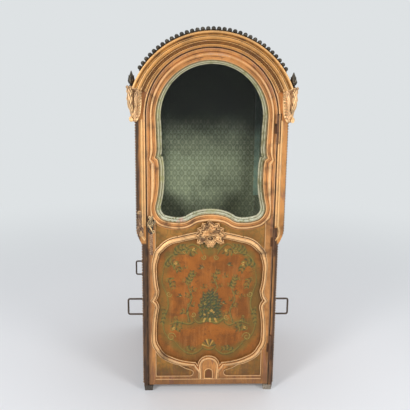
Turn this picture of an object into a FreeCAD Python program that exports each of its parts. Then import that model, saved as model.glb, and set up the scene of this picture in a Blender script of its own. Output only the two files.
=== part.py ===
"""A sedan chair of the 18th century: a carried cabin with an arched door, a vaulted roof and pole staples.

Millimetres. +X is the hinge side of the door, -Y the front, +Z up. The origin is on the floor, in the middle.
"""
import FreeCAD, Part
import math
import os

import Sketcher

doc = FreeCAD.newDocument("sedan_chair")

# ---------------------------------------------------------------- driving sizes
SIZES = [
    # alias, value, what it is
    ("body_depth", 800, "front face to rear face of the body"),
    ("post_wide", 19, "width of a corner post beside the door, below the swell"),
    ("side_swell", 25, "how far the upper body stands out over the lower"),
    ("foot_tall", 28, "height of a foot"),
    ("foot_wide", 46, "width and depth of a foot"),
    ("sill_tall", 40, "height of the base frame"),
    ("elbow_low", 758, "height where the side starts to swell"),
    ("elbow_rise", 74, "height of the swell, up to the full width"),
    ("wall", 22, "thickness of a side panel"),
    ("lining", 10, "thickness of a padded lining board"),
    ("arch_rise", 1365, "height of the centre of the door's arch"),
    ("roof_centre", 1354, "height of the centre of the roof's curve"),
    ("roof_radius", 366, "outer radius of the roof"),
    ("roof_thick", 14, "thickness of the roof shell"),
    ("eaves", 1470, "top of the side walls"),
    ("door_half", 295.5, "half width of the door"),
    ("door_gap", 3.5, "gap between the door and its opening"),
    ("door_foot", 34, "height of the door's lower edge"),
    ("door_thick", 30, "thickness of the door"),
    ("stop_gap", 5, "gap between the door and its stop"),
    ("stop_lap", 15.5, "how far the stop laps behind the door"),
    ("stop_thick", 25, "depth of the stop"),
    ("sight_half", 250, "half width of the window in the door"),
    ("sight_sill", 866, "lowest edge of the window in the door"),
    ("trim_wide", 24, "width of the painted trim round a window"),
    ("trim_thick", 12, "thickness of the painted trim"),
    ("glass_thick", 4, "thickness of a pane"),
    ("stile_flat", 12, "width of the flat edge outside the window's moulding"),
    ("bead_wide", 22, "width of the moulding round a window or panel"),
    ("bead_high", 8, "how far that moulding stands out"),
    ("panel_thick", 12, "thickness of a sunk panel"),
    ("panel_sunk", 10, "depth of a sunk panel below the frame"),
    ("panel_half", 255, "half width of the painted panel in the door"),
    ("panel_low", 136, "lowest point of the painted panel"),
    ("lock_rail", 66, "height of the rail between the window and the painted panel"),
    ("panel_lap", 8, "how far a moulding laps over the painted panel's seat"),
    ("stile_edge", 257, "half width between the door's flat stiles"),
    ("spandrel_sunk", 3, "depth of the small fields beside the mouldings"),
    ("lobe_radius", 20, "radius of the round ends of the lower fields"),
    ("rail_low", 82, "lower edge of the lower fields"),
    ("tongue_half", 51, "half width of the arch under the painted panel"),
    ("trim_sunk", 6, "depth of the painted trim below the frame"),
    ("cornice_radius", 378, "outer radius of the arched cornice"),
    ("cornice_tall", 64, "height of the cornice's face"),
    ("cornice_out", 55, "how far the cornice stands out"),
    ("cornice_foot", 1492, "height of the lower ends of the arched cornice"),
    ("knob_radius", 9.5, "radius of a ball on the roof's edge"),
    ("knob_count", 33, "balls on one arch"),
    ("knob_first", 34.5, "angle of the first ball above the level, in degrees"),
    ("finial_tall", 68, "height of a corner finial"),
    ("finial_radius", 15, "largest radius of a corner finial"),
    ("console_tall", 155, "height of a corner console"),
    ("console_out", 29, "how far a console stands out at its top"),
    ("console_in", 31, "how far a console laps in over the front at its top"),
    ("staple_bar", 9, "thickness of a staple's iron"),
    ("staple_reach", 85, "how far a staple stands out from the wall"),
    ("staple_low", 359, "lower edge of a staple"),
    ("staple_tall", 90, "height of a staple"),
    ("staple_place", 292, "distance of a staple from the middle, along the side"),
    ("plate_thick", 3, "thickness of an iron plate"),
    ("hinge_out", 14, "distance of the hinge pin in front of the door"),
    ("hinge_tall", 136, "height of a hinge"),
    ("knuckle_radius", 5, "radius of a hinge knuckle"),
    ("pin_radius", 2.5, "radius of a hinge pin"),
    ("pin_play", 0.3, "play round a pin, and between knuckles"),
    ("seat_high", 450, "top of the seat board"),
    ("seat_deep", 410, "depth of the seat, from the back lining"),
    ("seat_board", 18, "thickness of the seat board"),
    ("cushion_thick", 70, "thickness of the cushion"),
    ("rest_gap", 0.3, "gap under soft and loose pieces"),
    ("shell_drop", 60, "drop from the window to the root of the shell's ribs"),
    ("shell_tall", 86, "length of the shell's middle rib"),
    ("shell_low", 54, "length of the pendant leaf under the shell"),
    ("rosette_radius", 21, "radius of a rosette beside the shell"),
    ("rosette_place", 54, "distance of a rosette from the middle"),
    ("shell_ribs", 9, "ribs of the shell"),
    ("shell_high", 18, "how far the shell stands out"),
    ("shell_spread", 74, "lean of the shell's outer ribs, in degrees"),
    ("lock_drop", 157, "drop from the window's sill to the lower end of the lock plate"),
    ("lock_tall", 106, "height of the lock plate"),
    ("lock_wide", 15, "width of the lock plate"),
    ("lock_place", 18, "distance of the lock from the door's edge"),
    ("handle_tall", 82, "height of the scroll handle"),
    ("handle_wire", 3, "radius of the handle's scrolls"),
    ("hinge_low", 163, "lower end of the lowest hinge"),
    ("hinge_middle", 706, "lower end of the middle hinge"),
    ("hinge_high", 1241, "lower end of the highest hinge"),
]

sheet = doc.addObject("Spreadsheet::Sheet", "sizes")
for row, (alias, value, note) in enumerate(SIZES, 1):
    sheet.set(f"A{row}", alias)
    sheet.set(f"B{row}", str(value))
    sheet.set(f"C{row}", note)
    sheet.setAlias(f"B{row}", alias)
doc.recompute()


class Size:
    """A length that knows both its number and the formula of sheet names that gives it."""

    def __init__(self, number, formula):
        self.number = float(number)
        self.formula = formula

    def __float__(self):
        return self.number

    def __neg__(self):
        return Size(-self.number, f"(-{self.formula})")

    def __add__(self, other):
        other = size(other)
        return Size(self.number + other.number, f"({self.formula} + {other.formula})")

    def __sub__(self, other):
        other = size(other)
        return Size(self.number - other.number, f"({self.formula} - {other.formula})")

    def __mul__(self, other):
        other = size(other)
        return Size(self.number * other.number, f"({self.formula} * {other.formula})")

    def __truediv__(self, other):
        other = size(other)
        return Size(self.number / other.number, f"({self.formula} / {other.formula})")

    def __radd__(self, other):
        return size(other) + self

    def __rsub__(self, other):
        return size(other) - self

    def __rmul__(self, other):
        return size(other) * self


def size(number):
    """Give a plain number the form of a Size."""
    return number if isinstance(number, Size) else Size(number, repr(float(number)))


def named(alias):
    """The Size of one cell of the sheet."""
    return Size(sheet.get(alias), f"sizes.{alias}")


def bind(item, prop, amount):
    """Tie a property of a document object to its formula."""
    item.setExpression(prop, size(amount).formula)


s = {alias: named(alias) for alias, value, note in SIZES}

# ---------------------------------------------------------------- places worked out from the sizes
front = s["body_depth"] / 2                                   # distance of the front face from the middle
open_half = s["door_half"] + s["door_gap"]                    # half width of the door opening
stop_half = open_half - s["stop_lap"]                         # half width between the door stops
rebate = s["door_thick"] + s["stop_gap"]                      # depth in front of the stop
post_deep = rebate + s["stop_thick"]                          # depth of a corner post
side_front = front - post_deep                                # end of a side panel, from the middle
sill_top = s["foot_tall"] + s["sill_tall"]
panel_high = s["sight_sill"] - s["lock_rail"]                 # top of the painted panel
shell_root = s["sight_sill"] - s["shell_drop"]                # where the shell's ribs spring from
elbow_high = s["elbow_low"] + s["elbow_rise"]
lower_half = open_half + s["post_wide"]                       # half width of the lower body
upper_half = lower_half + s["side_swell"]                     # half width of the upper body
lower_in = lower_half - s["wall"]                        # inner face of the lower side panel
upper_in = upper_half - s["wall"]                        # inner face of the upper side panel
lock_low = s["sight_sill"] - s["lock_drop"]                   # lower end of the lock plate
hinge_x = open_half - s["door_gap"] / 2                       # the hinge pin stands in front of the gap
hinge_y = -front - s["hinge_out"]
seat_front = front - rebate - s["lining"] - s["seat_deep"]    # front edge of the seat


# shares of a radius or a rise that follow from geometry
ARCH_BOW = 1 - math.sqrt(0.5)                                 # sagitta of a quarter circle, in radii
# the handle's scrolls: share of its height up, share across, share for the radius
HANDLE_CURLS = [(0.16, 0, 0.13), (0.42, -0.03, 0.14), (0.66, 0.05, 0.11), (0.87, -0.02, 0.1)]
ELBOW_BOW = 0.082                                             # sagitta of the elbow's swell, in rises


# ---------------------------------------------------------------- ways of building
def plane_of(body, role):
    """One of a body's own origin planes."""
    return [item for item in body.Origin.OriginFeatures if item.Role == role][0]


def sagitta_arc(first, last, sagitta):
    """An arc from first to last that bulges to the right of its way by the sagitta."""
    way = last - first
    middle = (first + last) / 2 + FreeCAD.Vector(way.y, -way.x, 0) / way.Length * sagitta
    return Part.Arc(first, middle, last)


def draw_loop(sketch, rows):
    """Draw one closed loop of rows (across, up, sagitta of the run to the next row) and tie every corner."""
    corners = [FreeCAD.Vector(float(across), float(up), 0) for across, up, sagitta in rows]
    base = sketch.GeometryCount
    starts = []
    for place, (across, up, sagitta) in enumerate(rows):
        first = corners[place]
        last = corners[(place + 1) % len(rows)]
        bend = float(sagitta)
        run = sagitta_arc(first, last, bend) if bend else Part.LineSegment(first, last)
        sketch.addGeometry(run, False)
        starts.append(2 if bend < 0 else 1)
    for place, (across, up, sagitta) in enumerate(rows):
        after = (place + 1) % len(rows)
        sketch.addConstraint(Sketcher.Constraint("Coincident", base + place, 3 - starts[place],
                                                 base + after, starts[after]))
        for kind, amount in (("DistanceX", across), ("DistanceY", up)):
            tie = sketch.addConstraint(Sketcher.Constraint(kind, -1, 1, base + place, starts[place], float(amount)))
            bind(sketch, f"Constraints[{tie}]", amount)
        if float(sagitta):
            wide = rows[after][0] - across
            tall = rows[after][1] - up
            bend = size(sagitta) if float(sagitta) > 0 else -size(sagitta)
            radius = ((wide * wide + tall * tall) / 4 + bend * bend) / (bend * 2)
            tie = sketch.addConstraint(Sketcher.Constraint("Radius", base + place, float(radius)))
            bind(sketch, f"Constraints[{tie}]", radius)


def new_body(label):
    """A sub-part that is built of sketches and features."""
    body = doc.addObject("PartDesign::Body", label)
    body.Label = label
    return body


def new_sketch(body, role, place):
    """A sketch on one of the body's planes, moved along the plane's normal to its place."""
    sketch = body.newObject("Sketcher::SketchObject", f"{body.Name}_outline")
    sketch.AttachmentSupport = [(plane_of(body, role), "")]
    sketch.MapMode = "FlatFace"
    bind(sketch, "AttachmentOffset.Base.z", place)
    return sketch


def pad(body, role, loops, low, high):
    """Pad loops from the level low to the level high, both measured along the world axis that the plane faces."""
    place = -high if role == "XZ_Plane" else low
    sketch = new_sketch(body, role, size(place))
    for rows in loops:
        draw_loop(sketch, rows)
    feature = body.newObject("PartDesign::Pad", f"{body.Name}_pad")
    feature.Profile = sketch
    bind(feature, "Length", size(high) - low)
    sketch.Visibility = False
    return feature


def rectangle(left, right, low, high):
    """The rows of a rectangle."""
    return [(left, low, 0), (right, low, 0), (right, high, 0), (left, high, 0)]


def boxed(label, x, y, z):
    """A plain board between pairs of places."""
    board = doc.addObject("Part::Box", label)
    board.Label = label
    for prop, (low, high) in zip(("Length", "Width", "Height"), (x, y, z)):
        bind(board, prop, size(high) - low)
    for axis, (low, high) in zip("xyz", (x, y, z)):
        bind(board, f"Placement.Base.{axis}", low)
    return board


def shaped(label, shape):
    """A sub-part whose form is worked out by Part's own functions."""
    item = doc.addObject("Part::Feature", label)
    item.Label = label
    item.Shape = shape
    item.Placement = FreeCAD.Placement()
    return item


def n(amount):
    """The number of a Size, for Part's own functions."""
    return float(amount)


def face_of(rows):
    """A face in the sketch plane, from rows of (across, up, sagitta of the run to the next row)."""
    points = [FreeCAD.Vector(n(across), n(up), 0) for across, up, sagitta in rows]
    edges = []
    for place, row in enumerate(rows):
        first = points[place]
        last = points[(place + 1) % len(points)]
        run = sagitta_arc(first, last, n(row[2])) if n(row[2]) else Part.LineSegment(first, last)
        edges.append(run.toShape())
    return Part.Face(Part.Wire(edges))


def mirrored(half):
    """Close a right half, given from the lowest row on the middle line to the highest, with its mirror image."""
    last = len(half) - 1
    rows = half[:last]
    rows.append((half[last][0], half[last][1], half[last - 1][2]))
    for place in range(last - 1, 0, -1):
        across, up, sagitta = half[place]
        rows.append((-across, up, half[place - 1][2]))
    return rows


def front_slab(face, low, high):
    """Stand a face up in the front's plane and give it depth from Y low to Y high."""
    slab = face.copy()
    slab.rotate(FreeCAD.Vector(0, 0, 0), FreeCAD.Vector(1, 0, 0), 90)
    slab.translate(FreeCAD.Vector(0, n(high), 0))
    return slab.extrude(FreeCAD.Vector(0, n(low) - n(high), 0))


def side_slab(face, low, high):
    """Stand a face up in the side's plane and give it depth from X low to X high."""
    slab = face.copy()
    slab.rotate(FreeCAD.Vector(0, 0, 0), FreeCAD.Vector(1, 1, 1), 120)
    slab.translate(FreeCAD.Vector(n(low), 0, 0))
    return slab.extrude(FreeCAD.Vector(n(high) - n(low), 0, 0))


def grown(face, amount):
    """The face with its edge moved out by the amount, or in by a negative one."""
    return face.makeOffset2D(n(amount), 0, False, False, True)


# ---------------------------------------------------------------- the outlines of windows and panels
def window_face():
    """The lobed and cusped window of the door: a humped sill, waisted sides and a round arch."""
    half = s["sight_half"]
    sill = s["sight_sill"]
    bow = half + 4
    rise = s["arch_rise"] - 10
    tall = rise - sill
    rows = [
        # across, up, sagitta
        (size(0), sill + 41, -3),
        (half * 0.28, sill + 29, -1),
        (half * 0.416, sill + 10, 3),
        (half * 0.6, sill, 4),
        (half - 25, sill + 14, 12),
        (half + 6, sill + 84, -6),
        (half - 10, sill + tall * 0.485, -2),
        (half - 5, sill + tall * 0.607, 0),
        (half + 7, sill + tall * 0.628, -3),
        (half, sill + tall * 0.746, 0),
        (bow, rise, bow * ARCH_BOW),
        (size(0), rise + bow, 0),
    ]
    return face_of(mirrored(rows))


def cartouche_face():
    """The painted panel of the door: a keyhole tongue below, cusped sides and round shoulders."""
    half = s["panel_half"]
    low = s["panel_low"]
    high = panel_high
    waist = (low + high) / 2
    rows = [
        # across, up, sagitta
        (size(0), low + 52, -5),
        (half * 0.161, low + 34, -3),
        (half * 0.212, low, 0),
        (half * 0.251, low + 17, 1),
        (half * 0.447, low + 23, 3),
        (half * 0.749, low + 50, 7),
        (half - 17, low + 98, 5),
        (half, low + 152, 5),
        (half - 13, waist - 27, -4),
        (half + 2, waist + 11, -4),
        (half - 13, waist + 62, 3),
        (half - 2, high - 180, 5),
        (half - 13, high - 104, 5),
        (half * 0.875, high - 71, 9),
        (half * 0.584, high - 29, 3),
        (size(0), high, 0),
    ]
    return face_of(mirrored(rows))


def side_window_face():
    """The window of a side wall: a low humped sill, waisted sides and a flat arch."""
    half = side_front * 0.62
    sill = elbow_high + 60
    top = s["eaves"] - 110
    rows = [
        (size(0), sill + 22, -2),
        (half * 0.3, sill + 16, 0),
        (half * 0.45, sill, 3),
        (half * 0.88, sill + 8, 10),
        (half, sill + 60, -6),
        (half - 10, top - 190, 0),
        (half + 4, top - 178, -3),
        (half - 4, top - 110, 0),
        (half - 4, top - 70, 22),
        (half * 0.62, top - 12, 4),
        (size(0), top, 0),
    ]
    return face_of(mirrored(rows))


def lower_field_face():
    """The field of a lower side panel: square below, with hollowed and rounded shoulders above."""
    half = s["staple_place"] - s["staple_bar"] * 3
    low = sill_top + 45
    high = s["elbow_low"] - 45
    rows = [
        (size(0), low, 0),
        (half, low, 0),
        (half, high - 70, -14),
        (half - 40, high - 30, 10),
        (half - 90, high, 0),
        (size(0), high, 0),
    ]
    return face_of(mirrored(rows))


def side_outline(side, inner, low, high):
    """The front outline of a corner post: straight below, swelling at the elbow, straight above."""
    rows = [
        (inner * side, low, 0),
        (lower_half * side, low, 0),
        (lower_half * side, s["elbow_low"], s["elbow_rise"] * ELBOW_BOW * side),
        (upper_half * side, elbow_high, 0),
        (upper_half * side, high, 0),
        (inner * side, high, 0),
    ]
    return rows


def roof_slab(radius, low, high):
    """A solid with the roof's curve, cut at the springing and at the side walls, from Y low to Y high."""
    disc = Part.makeCylinder(n(radius), n(high) - n(low), FreeCAD.Vector(0, n(low), n(s["roof_centre"])),
                             FreeCAD.Vector(0, 1, 0))
    wide = n(upper_half)
    block = Part.makeBox(2 * wide, n(high) - n(low), 2 * n(radius),
                         FreeCAD.Vector(-wide, n(low), n(s["arch_rise"])))
    return disc.common(block)


def arch_slab(radius, low, high, foot):
    """A solid that fills an arch of the radius down to the height foot, from Y low to Y high."""
    rows = [
        (-radius, foot, 0),
        (radius, foot, 0),
        (radius, s["arch_rise"], radius * ARCH_BOW),
        (size(0), s["arch_rise"] + radius, radius * ARCH_BOW),
        (-radius, s["arch_rise"], 0),
    ]
    return front_slab(face_of(rows), low, high)


# ---------------------------------------------------------------- feet, base and floor
def build_feet():
    """Four tapered blocks under the corner posts."""
    half = s["foot_wide"] / 2
    blocks = []
    for side in (-1, 1):
        for end in (-1, 1):
            middle = FreeCAD.Vector(side * n(lower_half - half), end * n(front - half), 0)
            wide = n(half)
            rings = []
            for height, share in ((0, 0.84), (n(s["foot_tall"]), 1.0)):
                corners = [FreeCAD.Vector(x * wide * share, y * wide * share, height) + middle
                           for x, y in ((-1, -1), (1, -1), (1, 1), (-1, 1), (-1, -1))]
                rings.append(Part.makePolygon(corners))
            blocks.append(Part.makeLoft(rings, True, True))
    shaped("feet", Part.makeCompound(blocks))


def build_base():
    """The base frame, a ring of sills between the posts, and the floor board in it."""
    body = new_body("base_frame")
    inner = side_front - s["stop_thick"]
    ring = [
        (-stop_half, -(front - rebate), 0),
        (stop_half, -(front - rebate), 0),
        (stop_half, -side_front, 0),
        (lower_half, -side_front, 0),
        (lower_half, side_front, 0),
        (stop_half, side_front, 0),
        (stop_half, front - rebate, 0),
        (-stop_half, front - rebate, 0),
        (-stop_half, side_front, 0),
        (-lower_half, side_front, 0),
        (-lower_half, -side_front, 0),
        (-stop_half, -side_front, 0),
    ]
    hole = rectangle(-stop_half, stop_half, -inner, inner)
    pad(body, "XY_Plane", [ring, hole], s["foot_tall"], sill_top)
    boxed("floor_board", (-stop_half, stop_half), (-inner, inner), (sill_top - 15, sill_top))


# ---------------------------------------------------------------- the walls
def build_post(label, side, end):
    """A corner post: its face beside the door, and the stop that the door closes against."""
    body = new_body(label)
    face = (-front, -(front - rebate)) if end < 0 else (front - rebate, front)
    stop = (-(front - rebate), -side_front) if end < 0 else (side_front, front - rebate)
    for inner, (low, high) in ((open_half, face), (stop_half, stop)):
        pad(body, "XZ_Plane", [side_outline(side, inner, s["foot_tall"], s["arch_rise"])], low, high)


def build_head(label, end):
    """The vaulted board that closes a front or rear over the posts, with its stop behind."""
    rise = s["arch_rise"]
    parts = []
    for inner, low, high in ((open_half, front - rebate, front), (stop_half, side_front, front - rebate)):
        if end < 0:
            low, high = -high, -low
        board = roof_slab(s["roof_radius"], low, high)
        parts.append(board.cut(arch_slab(inner, low - 1, high + 1, rise - 1)))
    shaped(label, parts[0].fuse(parts[1]).removeSplitter())


def build_side(side, name):
    """A side wall: lower panel, elbow rail, upper panel with its window, trim, pane and lining."""
    reach = (-side_front, side_front)
    lower = sorted((lower_in * side, lower_half * side), key=n)
    boxed(f"lower_panel_{name}", lower, reach, (sill_top, s["elbow_low"]))

    field = lower_field_face()
    ring = field.cut(grown(field, -s["bead_wide"]))
    wall_face = lower_half * side
    shaped(f"panel_bead_{name}",
           side_slab(ring, *sorted((wall_face, wall_face + s["bead_high"] * side), key=n)))

    rail = new_body(f"elbow_rail_{name}")
    bow = s["elbow_rise"] * ELBOW_BOW
    rows = [
        (lower_in * side, s["elbow_low"], 0),
        (lower_half * side, s["elbow_low"], bow * side),
        (upper_half * side, elbow_high, 0),
        (upper_in * side, elbow_high, -bow * side),
    ]
    pad(rail, "XZ_Plane", [rows], *reach)

    window = side_window_face()
    out = upper_half * side
    back = upper_in * side
    low, high = sorted((back, out), key=n)
    wall = Part.makeBox(n(s["wall"]), 2 * n(side_front), n(s["eaves"] - elbow_high),
                        FreeCAD.Vector(n(low), -n(side_front), n(elbow_high)))
    shaped(f"upper_panel_{name}", wall.cut(side_slab(window, low - 1, high + 1)))
    trim = window.cut(grown(window, -s["trim_wide"]))
    shaped(f"window_trim_{name}", side_slab(trim, *sorted((back, back + s["trim_thick"] * side), key=n)))
    bead = grown(window, s["bead_wide"]).cut(window)
    shaped(f"window_bead_{name}", side_slab(bead, *sorted((out, out + s["bead_high"] * side), key=n)))
    pane = sorted((back, back - s["glass_thick"] * side), key=n)
    shaped(f"side_glass_{name}", side_slab(window, *pane))


def build_linings():
    """Padded damask boards inside: back, sides and ceiling."""
    back = (front - rebate - s["lining"], front - rebate)
    shaped("lining_back", arch_slab(stop_half - s["rest_gap"], *back, sill_top))
    for side, name in ((-1, "left"), (1, "right")):
        inside = (upper_in - s["lining"]) * side
        low, high = sorted((inside, upper_in * side), key=n)
        board = Part.makeBox(n(s["lining"]), 2 * n(side_front), n(s["eaves"] - elbow_high),
                             FreeCAD.Vector(n(low), -n(side_front), n(elbow_high)))
        hole = side_slab(side_window_face(), low - 1, high + 1)
        below = sorted(((lower_in - s["lining"]) * side, lower_in * side), key=n)
        skirt = Part.makeBox(n(s["lining"]), 2 * n(side_front), n(s["elbow_low"] - sill_top),
                             FreeCAD.Vector(n(below[0]), -n(side_front), n(sill_top)))
        shaped(f"lining_{name}", Part.makeCompound([board.cut(hole), skirt]))


def build_rear():
    """The fixed rear wall: a lower and an upper panel, arched at the top, each with its bead."""
    level = s["sight_sill"] - 70
    place = (front - rebate, front - rebate + s["wall"])
    boxed("rear_panel_lower", (-open_half, open_half), place, (s["foot_tall"], level))
    shaped("rear_panel_upper", arch_slab(open_half, *place, level))
    face = front - rebate + s["wall"]
    inset = 55
    half = open_half - inset
    low = s["foot_tall"] + inset
    lower = face_of([(-half, low, 0), (half, low, 0), (half, level - inset - 40, 14),
                     (half - 40, level - inset, 0), (-half + 40, level - inset, 14), (-half, level - inset - 40, 0)])
    upper = face_of([(-half, level + inset, 0), (half, level + inset, 0), (half, s["arch_rise"], half * ARCH_BOW),
                     (size(0), s["arch_rise"] + half, half * ARCH_BOW), (-half, s["arch_rise"], 0)])
    beads = [front_slab(edge.cut(grown(edge, -s["bead_wide"])), face, face + s["bead_high"])
             for edge in (lower, upper)]
    shaped("rear_beads", Part.makeCompound(beads))


# ---------------------------------------------------------------- roof, cornices and their ornaments
def build_roof():
    """The vaulted roof shell between the two heads, and the lining of the ceiling under it."""
    inner = s["roof_radius"] - s["roof_thick"]
    wide = n(s["body_depth"])
    above = Part.makeBox(wide, wide, wide, FreeCAD.Vector(-wide / 2, -wide / 2, n(s["eaves"])))
    shell = roof_slab(s["roof_radius"], -side_front, side_front)
    shell = shell.cut(roof_slab(inner, -side_front - 1, side_front + 1)).common(above)
    shaped("roof_shell", shell)
    lining = roof_slab(inner, -side_front, side_front)
    lining = lining.cut(roof_slab(inner - s["lining"], -side_front - 1, side_front + 1)).common(above)
    shaped("lining_ceiling", lining)


def cornice_profile():
    """Rows of the cornice's section: (out from the roof's centre, forward of the face, sagitta)."""
    low = s["cornice_radius"] - s["cornice_tall"]
    top = s["cornice_radius"]
    out = s["cornice_out"]
    return [
        (low, size(0), 0),
        (low, size(8), 3),
        (low + 10, size(16), 0),
        (low + 12, size(22), -5),
        (low + 20, size(22), 0),
        (low + 22, size(26), -4),
        (low + 40, size(36), 5),
        (top - 10, out - 3, 0),
        (top - 8, out, 0),
        (top, out, 0),
        (top, size(-rebate / 2), 0),
        (s["roof_radius"], size(-rebate / 2), 0),
        (s["roof_radius"], size(0), 0),
    ]


def build_cornice(label, end):
    """An arched cornice: its section turned about the roof's centre and cut level at its feet."""
    edges = []
    rows = cornice_profile()
    points = [FreeCAD.Vector(0, end * n(front + ahead), n(s["roof_centre"] + up)) for up, ahead, bend in rows]
    for place, row in enumerate(rows):
        first = points[place]
        last = points[(place + 1) % len(points)]
        if n(row[2]):
            way = last - first
            middle = (first + last) / 2 + FreeCAD.Vector(0, way.z, -way.y) / way.Length * n(row[2]) * -end
            edges.append(Part.Arc(first, middle, last).toShape())
        else:
            edges.append(Part.LineSegment(first, last).toShape())
    section = Part.Face(Part.Wire(edges))
    centre = FreeCAD.Vector(0, 0, n(s["roof_centre"]))
    section.rotate(centre, FreeCAD.Vector(0, 1, 0), -90)
    arch = section.revolve(centre, FreeCAD.Vector(0, 1, 0), 180)
    wide = 2 * n(s["body_depth"])
    above = Part.makeBox(wide, wide, wide, FreeCAD.Vector(-wide / 2, -wide / 2, n(s["cornice_foot"])))
    shaped(label, arch.common(above))


def build_side_cornice(side, name):
    """The level cornice along the top of a side wall."""
    body = new_body(f"side_cornice_{name}")
    wall = upper_half
    low = s["cornice_foot"] - 34
    rows = [
        (wall * side, low, 0),
        ((wall + 6) * side, low, 0),
        ((wall + 10) * side, low + 8, -4 * side),
        ((wall + 24) * side, low + 26, 0),
        ((wall + 24) * side, s["cornice_foot"], 0),
        (wall * side, s["cornice_foot"], 0),
    ]
    reach = front - s["console_in"]
    pad(body, "XZ_Plane", [rows], -reach, reach)


def build_knobs():
    """Balls on short necks, evenly spaced along the upper edge of both arched cornices."""
    ball = n(s["knob_radius"])
    centre = FreeCAD.Vector(0, 0, n(s["roof_centre"]))
    middle = n(s["cornice_radius"]) + 1.05 * ball
    neck = 0.5 * ball
    joint = math.sqrt(ball ** 2 - neck ** 2)
    outline = Part.Wire([
        Part.LineSegment(FreeCAD.Vector(0, 0, -1.05 * ball), FreeCAD.Vector(neck, 0, -1.05 * ball)).toShape(),
        Part.LineSegment(FreeCAD.Vector(neck, 0, -1.05 * ball), FreeCAD.Vector(neck, 0, -joint)).toShape(),
        Part.Arc(FreeCAD.Vector(neck, 0, -joint), FreeCAD.Vector(ball, 0, 0), FreeCAD.Vector(0, 0, ball)).toShape(),
        Part.LineSegment(FreeCAD.Vector(0, 0, ball), FreeCAD.Vector(0, 0, -1.05 * ball)).toShape(),
    ])
    knob = Part.Face(outline).revolve(FreeCAD.Vector(0, 0, 0), FreeCAD.Vector(0, 0, 1), 360)
    first = n(s["knob_first"])
    count = int(round(n(s["knob_count"])))
    knobs = []
    for end in (-1, 1):
        for place in range(count):
            turn = 90 - first - (180 - 2 * first) * place / (count - 1)
            copy = knob.copy()
            copy.translate(centre + FreeCAD.Vector(0, end * n(front + s["cornice_out"] / 2), middle))
            copy.rotate(centre, FreeCAD.Vector(0, 1, 0), turn)
            knobs.append(copy)
    shaped("roof_knobs", Part.makeCompound(knobs))


def build_corners():
    """At each corner a carved console under the cornice and a finial over it."""
    consoles = []
    finials = []
    top = n(s["cornice_foot"])
    tall = n(s["console_tall"])
    out = n(s["console_out"])
    lap = n(s["console_in"])
    radius = n(s["finial_radius"])
    corner_x = n(upper_half)
    corner_y = n(front)
    # share of the height from the top, share standing out, share lapping in
    sections = [(0, 1, 1), (0.07, 1, 1), (0.12, 0.75, 0.9), (0.42, 0.8, 0.9), (0.75, 0.5, 0.8), (0.9, 0.6, 0.65),
                (0.96, 0.6, 0.5), (1, 0.35, 0.35)]
    # share of the height, share of the radius
    turnings = [(0, 0), (0, 0.4), (0.08, 0.4), (0.12, 0.5), (0.2, 0.45), (0.3, 0.9), (0.45, 1), (0.7, 0.7),
                (0.9, 0.3), (1, 0)]
    for side in (-1, 1):
        for end in (-1, 1):
            rings = []
            for share, stand, inside in sections:
                height = top - share * tall
                near = [corner_x - lap * inside, corner_y - lap * inside]
                far = [corner_x + out * stand, corner_y + out * stand]
                corners = [FreeCAD.Vector(side * x, end * y, height)
                           for x, y in ((near[0], near[1]), (far[0], near[1]), (far[0], far[1]),
                                        (near[0], far[1]), (near[0], near[1]))]
                rings.append(Part.makePolygon(corners))
            block = Part.makeLoft(rings, True, True)
            post = Part.makeBox(corner_x, corner_y, top + 10, FreeCAD.Vector(0, 0, 0))
            if side < 0:
                post.translate(FreeCAD.Vector(-corner_x, 0, 0))
            if end < 0:
                post.translate(FreeCAD.Vector(0, -corner_y, 0))
            consoles.append(block.cut(post))
            place = FreeCAD.Vector(side * (corner_x + out * 0.52), end * (corner_y + out * 0.5), top)
            points = [FreeCAD.Vector(share * radius, 0, up * n(s["finial_tall"])) for up, share in turnings]
            outline = Part.Face(Part.makePolygon(points + points[:1]))
            finial = outline.revolve(FreeCAD.Vector(0, 0, 0), FreeCAD.Vector(0, 0, 1), 360)
            finial.translate(place)
            finials.append(finial)
    shaped("consoles", Part.makeCompound(consoles))
    shaped("finials", Part.makeCompound(finials))


# ---------------------------------------------------------------- seat
def build_seat():
    """The seat: a board on a front board, and a loose cushion."""
    half = stop_half - s["rest_gap"]
    back = front - rebate - s["lining"] - s["rest_gap"]
    top = s["seat_high"]
    boxed("seat_board", (-half, half), (seat_front, back), (top - s["seat_board"], top))
    boxed("seat_front", (-half, half), (seat_front, seat_front + s["seat_board"]),
          (sill_top, top - s["seat_board"]))
    low = top + s["rest_gap"]
    cushion = Part.makeBox(2 * n(half) - 16, n(back - seat_front) - 6, n(s["cushion_thick"]),
                           FreeCAD.Vector(8 - n(half), n(seat_front) + 3, n(low)))
    shaped("seat_cushion", cushion.makeFillet(n(s["cushion_thick"]) * 0.3, cushion.Edges))


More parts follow.
